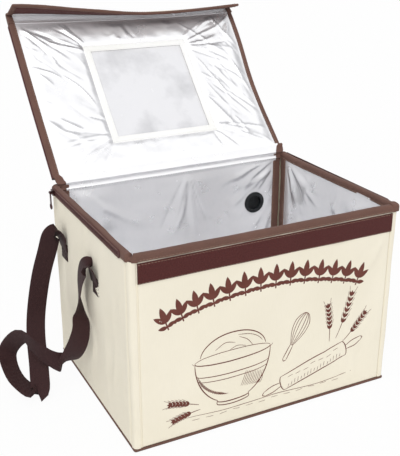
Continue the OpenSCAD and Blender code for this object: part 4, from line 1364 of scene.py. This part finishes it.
def make_strap(wall):
    """The webbing strap, shaped with a fixed curve at its roots, and the two ends sewn to the wall."""
    route = smooth_route([p for p, _ in STRAP_ROUTE], 6)
    widths = unit(smooth_route(unit(np.array([w for _, w in STRAP_ROUTE], float)), 6))
    travel = unit(np.gradient(route, axis=0))
    widths = unit(widths - travel * (widths * travel).sum(1)[:, None])
    through = np.cross(travel, widths)
    share = np.array([-1, -0.93, -0.6, -0.2, 0.2, 0.6, 0.93, 1])
    thick = WEBBING_T / 2 * np.array([0.45, 0.95, 1, 1, 1, 1, 0.95, 0.45])
    curl = 0.5 * (share ** 2)
    run = np.arange(len(route))
    centre = route[:, None, :] + widths[:, None, :] * (share * WEBBING_W / 2)[None, :, None]
    centre = centre + through[:, None, :] * (curl[None, :] * np.sin(run / 5.0)[:, None])[..., None]
    grids = []
    for side in (1, -1):
        p = centre + side * through[:, None, :] * thick[None, :, None]
        grids.append(on_wall(wall, p[..., 1] + HANDLE_BACK, PANEL_T + p[..., 0], BODY_H - p[..., 2]))
    piece = shell(f"{wall}_strap", grids[0], grids[1], FINISHES["webbing"], sharp=60)
    root, free = [on_wall(wall, 0, PANEL_T + out, z) for out, z in STRAP_BEND]
    settle(piece, (f"{wall}_wall", f"{wall}_handle", root, free), "webbing", f"{wall}_handle_strap")
    parts = []
    for end in (-1, 1):
        mid = HANDLE_BACK + end * HANDLE_SPREAD / 2
        parts.append(strip(lambda a, c, h: on_wall(wall, c, h, a), tape_stations(SEWN_LOW, SEWN_TOP, 2.5),
                           tape_stations(mid - WEBBING_W / 2, mid + WEBBING_W / 2), PANEL_T - 0.8,
                           WEBBING_T + 0.9, wave=lambda a, c: 0.15 * np.sin(a / 3.0) + 0.1 * np.sin(c / 4.0)))
        x0, x1, z0, z1 = mid - 12, mid + 12, SEWN_LOW + 3, SEWN_TOP - 4
        for corners in (((x0, z0), (x1, z0), (x1, z1), (x0, z1), (x0, z0), (x1, z1)), ((x1, z0), (x0, z1))):
            seam_lines(f"{wall}_wall.dark", corners, 12,
                       lambda u, z: on_wall(wall, u, PANEL_T + WEBBING_T + 0.35, z))
    piece = joined_shells(f"{wall}_sewn_ends", parts, FINISHES["webbing"])
    settle(piece, f"{wall}_wall", "webbing", f"{wall}_handle_ends")


# Rows of stitches and teeth

ROW_INPUTS = (("Lines", "NodeSocketGeometry", None), ("Pitch", "NodeSocketFloat", 0.004),
              ("Size", "NodeSocketVector", (0.001, 0.001, 0.001)), ("Lean", "NodeSocketFloat", 0.1),
              ("Seed", "NodeSocketInt", 1), ("Finish", "NodeSocketMaterial", None))
ROW_NODES = {"source": "NodeGroupInput", "sink": "NodeGroupOutput", "curve": "GeometryNodeMeshToCurve",
             "points": "GeometryNodeCurveToPoints", "turn": "FunctionNodeAlignRotationToVector",
             "wobble": "FunctionNodeRandomValue", "push": "ShaderNodeVectorMath",
             "low": "ShaderNodeVectorMath", "high": "ShaderNodeVectorMath",
             "place": "GeometryNodeInstanceOnPoints",
             "smooth": "GeometryNodeSetShadeSmooth", "real": "GeometryNodeRealizeInstances",
             "paint": "GeometryNodeSetMaterial"}
ROW_MODES = (("points", "mode", "LENGTH"), ("turn", "axis", "Z"), ("wobble", "data_type", "FLOAT_VECTOR"),
             ("push", "operation", "ADD"), ("low", "operation", "SCALE"), ("high", "operation", "SCALE"))
ROW_LINKS = (("source", "Lines", "curve", "Mesh"), ("curve", "Curve", "points", "Curve"),
             ("source", "Pitch", "points", "Length"), ("source", "Lean", "low", "Scale"),
             ("source", "Lean", "high", "Scale"), ("low", 0, "wobble", 0), ("high", 0, "wobble", 1),
             ("source", "Seed", "wobble", "Seed"), ("points", "Tangent", "push", 0), ("wobble", 0, "push", 1),
             ("push", 0, "turn", "Vector"), ("points", "Points", "place", "Points"),
             ("form", "Mesh", "smooth", "Geometry"), ("smooth", "Geometry", "place", "Instance"),
             ("turn", "Rotation", "place", "Rotation"), ("source", "Size", "place", "Scale"),
             ("place", "Instances", "real", "Geometry"), ("real", "Geometry", "paint", "Geometry"),
             ("source", "Finish", "paint", "Material"), ("paint", "Geometry", "sink", "Row"))
STITCH = ("GeometryNodeMeshUVSphere", {"Segments": 6, "Rings": 4, "Radius": 0.5})
COIL = ("GeometryNodeMeshCylinder", {"Vertices": 6, "Radius": 0.5, "Depth": 1.0})


def row_tree(name, shape):
    """A node tree that sets one small shape along every line of the mesh it is given."""
    tree = bpy.data.node_groups.new(name, "GeometryNodeTree")
    for title, kind, value in ROW_INPUTS:
        socket = tree.interface.new_socket(name=title, in_out="INPUT", socket_type=kind)
        if value is not None:
            socket.default_value = value
    tree.interface.new_socket(name="Row", in_out="OUTPUT", socket_type="NodeSocketGeometry")
    made = {key: tree.nodes.new(kind) for key, kind in ROW_NODES.items()}
    made["form"] = tree.nodes.new(shape[0])
    for key, value in shape[1].items():
        made["form"].inputs[key].default_value = value
    for key, setting, value in ROW_MODES:
        setattr(made[key], setting, value)
    made["low"].inputs[0].default_value = (-1.0, -1.0, -1.0)
    made["high"].inputs[0].default_value = (1.0, 1.0, 1.0)
    for source, out, target, into in ROW_LINKS:
        tree.links.new(made[source].outputs[out], made[target].inputs[into])
    return tree


def lay_row(name, tree, lines, pitch, size, lean, seed, finish):
    """One plain mesh of small shapes along the given lines."""
    points = np.concatenate(lines)
    edges, start = [], 0
    for line in lines:
        edges += [(start + k, start + k + 1) for k in range(len(line) - 1)]
        start += len(line)
    mesh = bpy.data.meshes.new(name)
    mesh.from_pydata([tuple(p) for p in points], edges, [])
    obj = linked(name, mesh)
    rows = obj.modifiers.new("rows", "NODES")
    rows.node_group = tree
    values = {"Pitch": pitch, "Size": size, "Lean": lean, "Seed": seed, "Finish": finish}
    for item in tree.interface.items_tree:
        if item.in_out == "INPUT" and item.name in values:
            rows[item.identifier] = values[item.name]
    return bake(obj)


def make_rows(sizes):
    """Stitches on every noted seam and coil on every zip, one piece for each body and thread."""
    stitch, coil = row_tree("stitch_row", STITCH), row_tree("coil_row", COIL)
    thread = sizes.thread_radius * 2
    threads = {"": "thread", "dark": "webbing", "pale": "hem"}
    for k, (key, lines) in enumerate(sorted(SEAMS.items())):
        body, _, kind = key.partition(".")
        finish = "tape" if body == "flap" else threads[kind]
        piece = lay_row(f"{body}_{kind}_stitches".replace("__", "_"), stitch, lines, sizes.stitch_pitch,
                        (thread, thread, sizes.stitch_length), 0.06, k, FINISHES[finish])
        settle(piece, body, "webbing" if kind == "dark" else "binding")
        if body == "flap":
            soften_flap(piece)
    for k, (body, lines) in enumerate(sorted(TEETH.items())):
        piece = lay_row(f"{body}_zip_coil", coil, lines, sizes.tooth_pitch, (0.0022, 0.0016, 0.0012), 0.0, k,
                        FINISHES["enamel"])
        settle(piece, body, "zip_metal")


# Printed design

def stroke(path, widths):
    """Left and right edges of an inked line, as a grid of (x, z)."""
    path = np.asarray(path, float)
    way = np.gradient(path, axis=0)
    way /= np.maximum(np.linalg.norm(way, axis=1), 1e-9)[:, None]
    side = np.stack([-way[:, 1], way[:, 0]], -1)
    half = np.asarray(widths, float)[:, None] / 2
    return np.stack([path + side * half, path - side * half], 1)


def inked(path, width=1.0, taper=0.35):
    path = smooth_route(path, 5) if len(path) > 2 else np.linspace(path[0], path[-1], 8)
    s = np.linspace(0, 1, len(path))
    return stroke(path, width * (taper + (1 - taper) * np.sin(math.pi * s) ** 0.5) + 0.05)


def grain(at, angle, length, width):
    """A pointed kernel."""
    s = np.linspace(0, 1, 9)
    way = np.array([math.cos(angle), math.sin(angle)])
    path = np.array(at) + way[None, :] * (s * length)[:, None]
    return stroke(path, width * np.sin(math.pi * s ** 0.85) ** 0.8 + 0.02)


def arc(cx, cz, rx, rz, a0, a1, count=12):
    a = np.radians(np.linspace(a0, a1, count))
    return [(cx + rx * math.cos(k), cz + rz * math.sin(k)) for k in a]


def toward(angle):
    return np.array([math.cos(angle), math.sin(angle)])


def wheat_ear(at, angle, length, size):
    """An ear of wheat: a bent stalk, paired kernels and whiskers."""
    strokes = []
    bend = 0.22
    s = np.linspace(0, 1, 9)
    turn = angle + bend * (s - 0.3)
    path = np.array(at) + np.cumsum(np.stack([np.cos(turn), np.sin(turn)], -1) * length / 8, 0)
    strokes.append(inked(path, 1.1))
    for k in range(3, 9):
        for side in (-1, 1):
            lean = turn[k] + side * 0.55
            strokes.append(grain(path[k], lean, size, size * 0.42))
            tip = path[k] + size * toward(lean)
            far = tip + size * 0.9 * toward(turn[k] + side * 0.3)
            strokes.append(inked([tip, far], 0.5))
    strokes.append(grain(path[-1], turn[-1], size, size * 0.42))
    return strokes


# The kernels of a sprig: lean, length and width
SPRIG = ((0, 26, 9.5), (0.72, 21, 8), (-0.72, 21, 8), (1.35, 14, 6.5), (-1.35, 14, 6.5))


def garland():
    """The arched band: sprigs of kernels side by side, with a dot between each two."""
    strokes = []
    spine = np.array(arc(-8, -160, 430, 384, 113.5, 66.5, 57))
    for k in range(2, 56, 4):
        way = spine[k + 1] - spine[k - 1]
        turn = math.atan2(way[1], way[0]) + math.pi / 2
        up = toward(turn)
        foot = spine[k] - up * 15
        strokes.append(inked([foot, foot + up * 14], 2.2, 0.8))
        for lean, length, width in SPRIG:
            start = foot + up * (12 if abs(lean) < 1 else 5)
            strokes.append(grain(start, turn + lean, length, width))
        if k < 52:
            strokes.append(grain(spine[k + 2] - up * 12, turn, 5.5, 5.5))
    return strokes


def heading(degrees):
    """The direction at an angle, and the one a quarter turn to its left."""
    way = toward(math.radians(degrees))
    return way, np.array([-way[1], way[0]])


def bowl(cx, top):
    """A bowl of risen dough: rim, sides, foot, two bands, hatching and the dome of dough."""
    lines = [(arc(cx, top, 62, 9, 180, 360, 14), 1.7), (arc(cx, top, 62, 9, 0, 180, 14), 0.9),
             (arc(cx, top + 2, 66, 11, 180, 360, 14), 0.8), (arc(cx, top, 62, 76, 182, 246, 12), 1.7),
             (arc(cx, top, 62, 76, 294, 358, 12), 1.7), (arc(cx, 48, 26, 5, 180, 360, 10), 1.7),
             ([(cx - 26, 48), (cx - 24, 41), (cx, 37.5), (cx + 24, 41), (cx + 26, 48)], 1.4),
             (arc(cx, 98, 60, 9, 188, 352, 14), 1.3), (arc(cx, 90, 58.5, 9, 188, 352, 14), 1.0)]
    for k in range(15):
        lines.append((arc(cx, top, 60 - k * 0.9, 74 - k * 0.8, 196 + k * 3.4, 213 + k * 3.4, 6), 0.6))
    for k in range(12):
        x = cx + 22 + k * 2.7
        lines.append(([(x, 86 - k * 0.6), (x - 4, 74 - k), (x - 9, 62 - k * 0.2)], 0.6))
    lines += [(arc(cx, top + 2, 54, 36, 8, 172, 18), 1.7),
              ([(cx - 30, 132), (cx - 14, 141), (cx + 2, 138)], 0.8),
              ([(cx + 8, 146), (cx + 22, 138), (cx + 32, 126)], 0.8),
              ([(cx - 6, 128), (cx + 6, 132), (cx + 20, 128)], 0.7)]
    for k in range(9):
        lines.append((arc(cx, top + 2, 50 - 0.4 * k, 32 - 0.3 * k, 18 + k * 6.5, 30 + k * 6.5, 5), 0.55))
    return lines


def rolling_pin(mid):
    way, up = heading(17)
    lines = [([mid - way * 56 + up * side * 13, mid + up * side * 13.6, mid + way * 56 + up * side * 13], 1.6)
             for side in (-1, 1)]
    for end in (-1, 1):
        turns = np.radians(np.linspace(-90, 90, 9))
        lines.append(([mid + way * end * (56 + 4.5 * math.cos(t)) + up * 13 * math.sin(t)
                       for t in turns], 1.5))
        grip, far = mid + way * end * 61, mid + way * end * 90
        for side in (-1, 1):
            lines.append(([grip + up * side * 3.4, (grip + far) / 2 + up * side * 5.6,
                           far + up * side * 3.6], 1.3))
        lines.append(([far + up * 3.6, far + way * end * 3.4, far - up * 3.6], 1.3))
    for k in range(17):
        start = mid - way * (50 - k * 6) - up * (11.5 - (k % 3) * 0.6)
        lines.append(([start, start + way * 3.2 + up * (5 + k % 4)], 0.55))
    for k in range(7):
        start = mid - way * 46 + up * (6 - 2 * (k % 3)) + way * k * 14
        lines.append(([start, start + way * 9], 0.55))
    return lines


def whisk(hub):
    way, up = heading(62)
    tail = hub - way * 24
    lines = [([hub + up * side * 2.6, tail + up * side * 3.2], 1.2) for side in (-1, 1)]
    lines.append(([tail + up * 3.2, hub - way * 27, tail - up * 3.2], 1.2))
    for spread in (-13, -8.5, -3.5, 3.5, 8.5, 13):
        lines.append(([hub + up * spread * 0.15, hub + way * 22 + up * spread * 0.9,
                       hub + way * 40 + up * spread, hub + way * 52 + up * spread * 0.45,
                       hub + way * 55], 0.9))
    return lines


# Ears of wheat: where each starts, its angle, its length and the size of its kernels
EARS = (((112, 92), 66, 70, 9.5), ((104, 90), 92, 58, 9), ((124, 88), 40, 52, 8.5),
        ((-112, 48), 160, 44, 8.5), ((-110, 42), 186, 40, 8))


def baking_things():
    """Bowl with risen dough, rolling pin, whisk and wheat, in thin and thick lines."""
    things = bowl(-62, 118) + rolling_pin(np.array([78.0, 62.0])) + whisk(np.array([36.0, 108.0]))
    strokes = [inked(points, width) for points, width in things]
    for at, angle, length, size in EARS:
        strokes += wheat_ear(at, math.radians(angle), length, size)
    strokes.append(inked([(-140, 34), (-70, 30), (10, 31), (90, 28), (150, 34)], 0.8))
    for k in range(12):
        x = -128 + k * 22
        strokes.append(inked([(x, 27 - k % 3), (x + 12, 26.4 - k % 2)], 0.5))
    return strokes


def make_print(sizes):
    """Raises every inked line a hair above the front's canvas."""
    parts = []
    for lines in garland() + baking_things():
        u, z = -lines[..., 0], lines[..., 1]
        height = canvas_height("front", u, z, sizes.puff)
        parts.append((on_wall("front", u, height + PRINT_PROUD, z),
                      on_wall("front", u, height - PRINT_SUNK, z)))
    settle(joined_shells("front_print", parts, FINISHES["ink"], 70), "front_wall", "binding")


# Stage

FLOOR = [(-9, -4, -0.0004), (14, -4, -0.0004), (14, 22, -0.0004), (-9, 22, -0.0004)]
FLOOR_GLOW = 0.94
KEY_DIRECTION = (0.42, 0.98, -1.25)
KEY_SPREAD = 35
CAMERA_AT = (-0.5594, -1.0411, 0.7103)
CAMERA_AZIMUTH = 0.467936
CAMERA_DIP = 0.376149


def plain_view(nodes, links):
    """A value of 1 for rays from the camera, a mirror or glass, and 0 for the rest."""
    rays = nodes.new("ShaderNodeLightPath")
    seen, shown = nodes.new("ShaderNodeMath"), nodes.new("ShaderNodeMath")
    seen.operation = shown.operation = "MAXIMUM"
    links.new(rays.outputs["Is Camera Ray"], seen.inputs[0])
    links.new(rays.outputs["Is Glossy Ray"], seen.inputs[1])
    links.new(seen.outputs[0], shown.inputs[0])
    links.new(rays.outputs["Is Transmission Ray"], shown.inputs[1])
    return shown.outputs[0]


def aimed(name, data, direction):
    """A lamp or camera that looks along a direction."""
    made = linked(name, data)
    made.rotation_euler = Vector(direction).to_track_quat("-Z", "Y").to_euler()
    return made


def make_floor():
    """A pale floor that shows white and keeps the object's shadow."""
    mesh = bpy.data.meshes.new("floor")
    mesh.from_pydata(FLOOR, [], [(0, 1, 2, 3)])
    ground = linked("floor", mesh)
    pale = bpy.data.materials.new("pale_floor")
    pale.use_nodes = True
    nodes, links = pale.node_tree.nodes, pale.node_tree.links
    nodes.clear()
    out, mix = nodes.new("ShaderNodeOutputMaterial"), nodes.new("ShaderNodeMixShader")
    matt, glow = nodes.new("ShaderNodeBsdfDiffuse"), nodes.new("ShaderNodeEmission")
    matt.inputs["Color"].default_value = (0.86, 0.86, 0.86, 1)
    glow.inputs["Color"].default_value = (1, 1, 1, 1)
    share = nodes.new("ShaderNodeMath")
    share.operation = "MULTIPLY"
    share.inputs[1].default_value = FLOOR_GLOW
    links.new(plain_view(nodes, links), share.inputs[0])
    for place, source in enumerate((share, matt, glow)):
        links.new(source.outputs[0], mix.inputs[place])
    links.new(mix.outputs[0], out.inputs[0])
    mesh.materials.append(pale)


def make_stage(light):
    scene = bpy.context.scene
    scene.view_settings.view_transform = "Standard"
    make_floor()

    world = bpy.data.worlds.new("studio")
    scene.world = world
    world.use_nodes = True
    nodes, links = world.node_tree.nodes, world.node_tree.links
    back = nodes["Background"]
    back.inputs["Color"].default_value = (1, 1, 1, 1)
    level = nodes.new("ShaderNodeMapRange")
    level.inputs["To Min"].default_value = light.world
    level.inputs["To Max"].default_value = 1.0
    links.new(plain_view(nodes, links), level.inputs["Value"])
    links.new(level.outputs[0], back.inputs["Strength"])

    lamp = bpy.data.lights.new("key", "SUN")
    lamp.energy = light.key
    lamp.angle = math.radians(KEY_SPREAD)
    aimed("key", lamp, KEY_DIRECTION)

    camera = bpy.data.cameras.new("camera")
    camera.lens = light.focal
    camera.sensor_width = 36
    ahead = math.cos(CAMERA_DIP)
    viewer = aimed("camera", camera, (math.sin(CAMERA_AZIMUTH) * ahead, math.cos(CAMERA_AZIMUTH) * ahead,
                                      -math.sin(CAMERA_DIP)))
    viewer.location = CAMERA_AT
    scene.camera = viewer


# Operators

# The finish of the CAD nodes that are shown as they are
HARDWARE = {"port_outer_ring": "plastic", "port_inner_ring": "plastic", "port_membrane": "rubber",
            "left_zip_slider": "enamel", "right_zip_slider": "enamel", "left_zip_pull": "enamel",
            "right_zip_pull": "enamel"}


def sizes_of(context):
    return context.scene.proofer_sizes


class PROOFER_OT_stage(bpy.types.Operator):
    """Sets up the floor, the light and the camera, and mixes the finishes"""
    bl_idname = "proofer.stage"
    bl_label = "Stage and finishes"

    def execute(self, context):
        make_finishes(context.scene.proofer_colours)
        make_stage(context.scene.proofer_light)
        return {"FINISHED"}


class PROOFER_OT_walls(bpy.types.Operator):
    """Makes the four walls: canvas, foil and bound edges"""
    bl_idname = "proofer.walls"
    bl_label = "Walls"

    def execute(self, context):
        for wall in WALLS:
            make_wall_canvas(wall, sizes_of(context))
            make_wall_foil(wall, sizes_of(context))
            make_wall_tape(wall, sizes_of(context))
        return {"FINISHED"}


class PROOFER_OT_corners(bpy.types.Operator):
    """Makes the canvas corner spines and the rim's tape round the corners"""
    bl_idname = "proofer.corners"
    bl_label = "Corners"

    def execute(self, context):
        make_corners()
        return {"FINISHED"}


class PROOFER_OT_base(bpy.types.Operator):
    """Makes the base with its tape, foil and hinge band"""
    bl_idname = "proofer.base"
    bl_label = "Base"

    def execute(self, context):
        make_base(sizes_of(context))
        return {"FINISHED"}


class PROOFER_OT_lid(bpy.types.Operator):
    """Makes the lid with its window and its hinge bands"""
    bl_idname = "proofer.lid"
    bl_label = "Lid and window"

    def execute(self, context):
        make_lid(sizes_of(context))
        make_window()
        make_lid_hinge()
        make_flap_hinge()
        return {"FINISHED"}


class PROOFER_OT_flap(bpy.types.Operator):
    """Makes the flap with its tape and hooks"""
    bl_idname = "proofer.flap"
    bl_label = "Flap"

    def execute(self, context):
        make_flap(sizes_of(context))
        return {"FINISHED"}


class PROOFER_OT_fastenings(bpy.types.Operator):
    """Makes the loop strip and the zip tapes"""
    bl_idname = "proofer.fastenings"
    bl_label = "Fastenings"

    def execute(self, context):
        make_loop_strip()
        for wall in ("left", "right"):
            make_wall_zip(wall, sizes_of(context))
        make_lid_zips()
        return {"FINISHED"}


class PROOFER_OT_handles(bpy.types.Operator):
    """Makes the two webbing handles and their sewn ends"""
    bl_idname = "proofer.handles"
    bl_label = "Handles"

    def execute(self, context):
        for wall in ("left", "right"):
            make_strap(wall)
        return {"FINISHED"}


class PROOFER_OT_hardware(bpy.types.Operator):
    """Gives the cable port, the zip sliders and their pulls their finish"""
    bl_idname = "proofer.hardware"
    bl_label = "Port and zip hardware"

    def execute(self, context):
        make_port_lips()
        for name, finish in HARDWARE.items():
            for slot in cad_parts[name].material_slots:
                slot.material = FINISHES[finish]
        return {"FINISHED"}


class PROOFER_OT_print(bpy.types.Operator):
    """Makes the printed design on the front"""
    bl_idname = "proofer.print"
    bl_label = "Front design"

    def execute(self, context):
        make_print(sizes_of(context))
        return {"FINISHED"}


class PROOFER_OT_rows(bpy.types.Operator):
    """Lays the stitches along the seams and the coil of the zips"""
    bl_idname = "proofer.rows"
    bl_label = "Stitches and zip coil"

    def execute(self, context):
        make_rows(sizes_of(context))
        return {"FINISHED"}


STEPS = (PROOFER_OT_stage, PROOFER_OT_walls, PROOFER_OT_corners, PROOFER_OT_base, PROOFER_OT_lid,
         PROOFER_OT_flap, PROOFER_OT_fastenings, PROOFER_OT_handles, PROOFER_OT_hardware, PROOFER_OT_print,
         PROOFER_OT_rows)


class PROOFER_PT_panel(bpy.types.Panel):
    """Lists the proofer's sizes, colours and makers"""
    bl_idname = "PROOFER_PT_panel"
    bl_label = "Dough proofer"
    bl_space_type = "VIEW_3D"
    bl_region_type = "UI"
    bl_category = "Proofer"

    def draw(self, context):
        column = self.layout.column()
        scene = context.scene
        for group in (scene.proofer_sizes, scene.proofer_colours, scene.proofer_light):
            for key in group.__annotations__:
                column.prop(group, key)
        for step in STEPS:
            column.operator(step.bl_idname)


GROUPS = {"proofer_sizes": ProoferSizes, "proofer_colours": ProoferColours, "proofer_light": ProoferLight}
CLASSES = tuple(GROUPS.values()) + STEPS + (PROOFER_PT_panel,)


def register():
    for cls in CLASSES:
        bpy.utils.register_class(cls)
    for name, group in GROUPS.items():
        setattr(bpy.types.Scene, name, PointerProperty(type=group))


def unregister():
    for name in GROUPS:
        delattr(bpy.types.Scene, name)
    for cls in reversed(CLASSES):
        bpy.utils.unregister_class(cls)


def main():
    register()
    for step in STEPS:
        group, name = step.bl_idname.split(".")
        getattr(getattr(bpy.ops, group), name)()


if __name__ == "__main__":
    main()
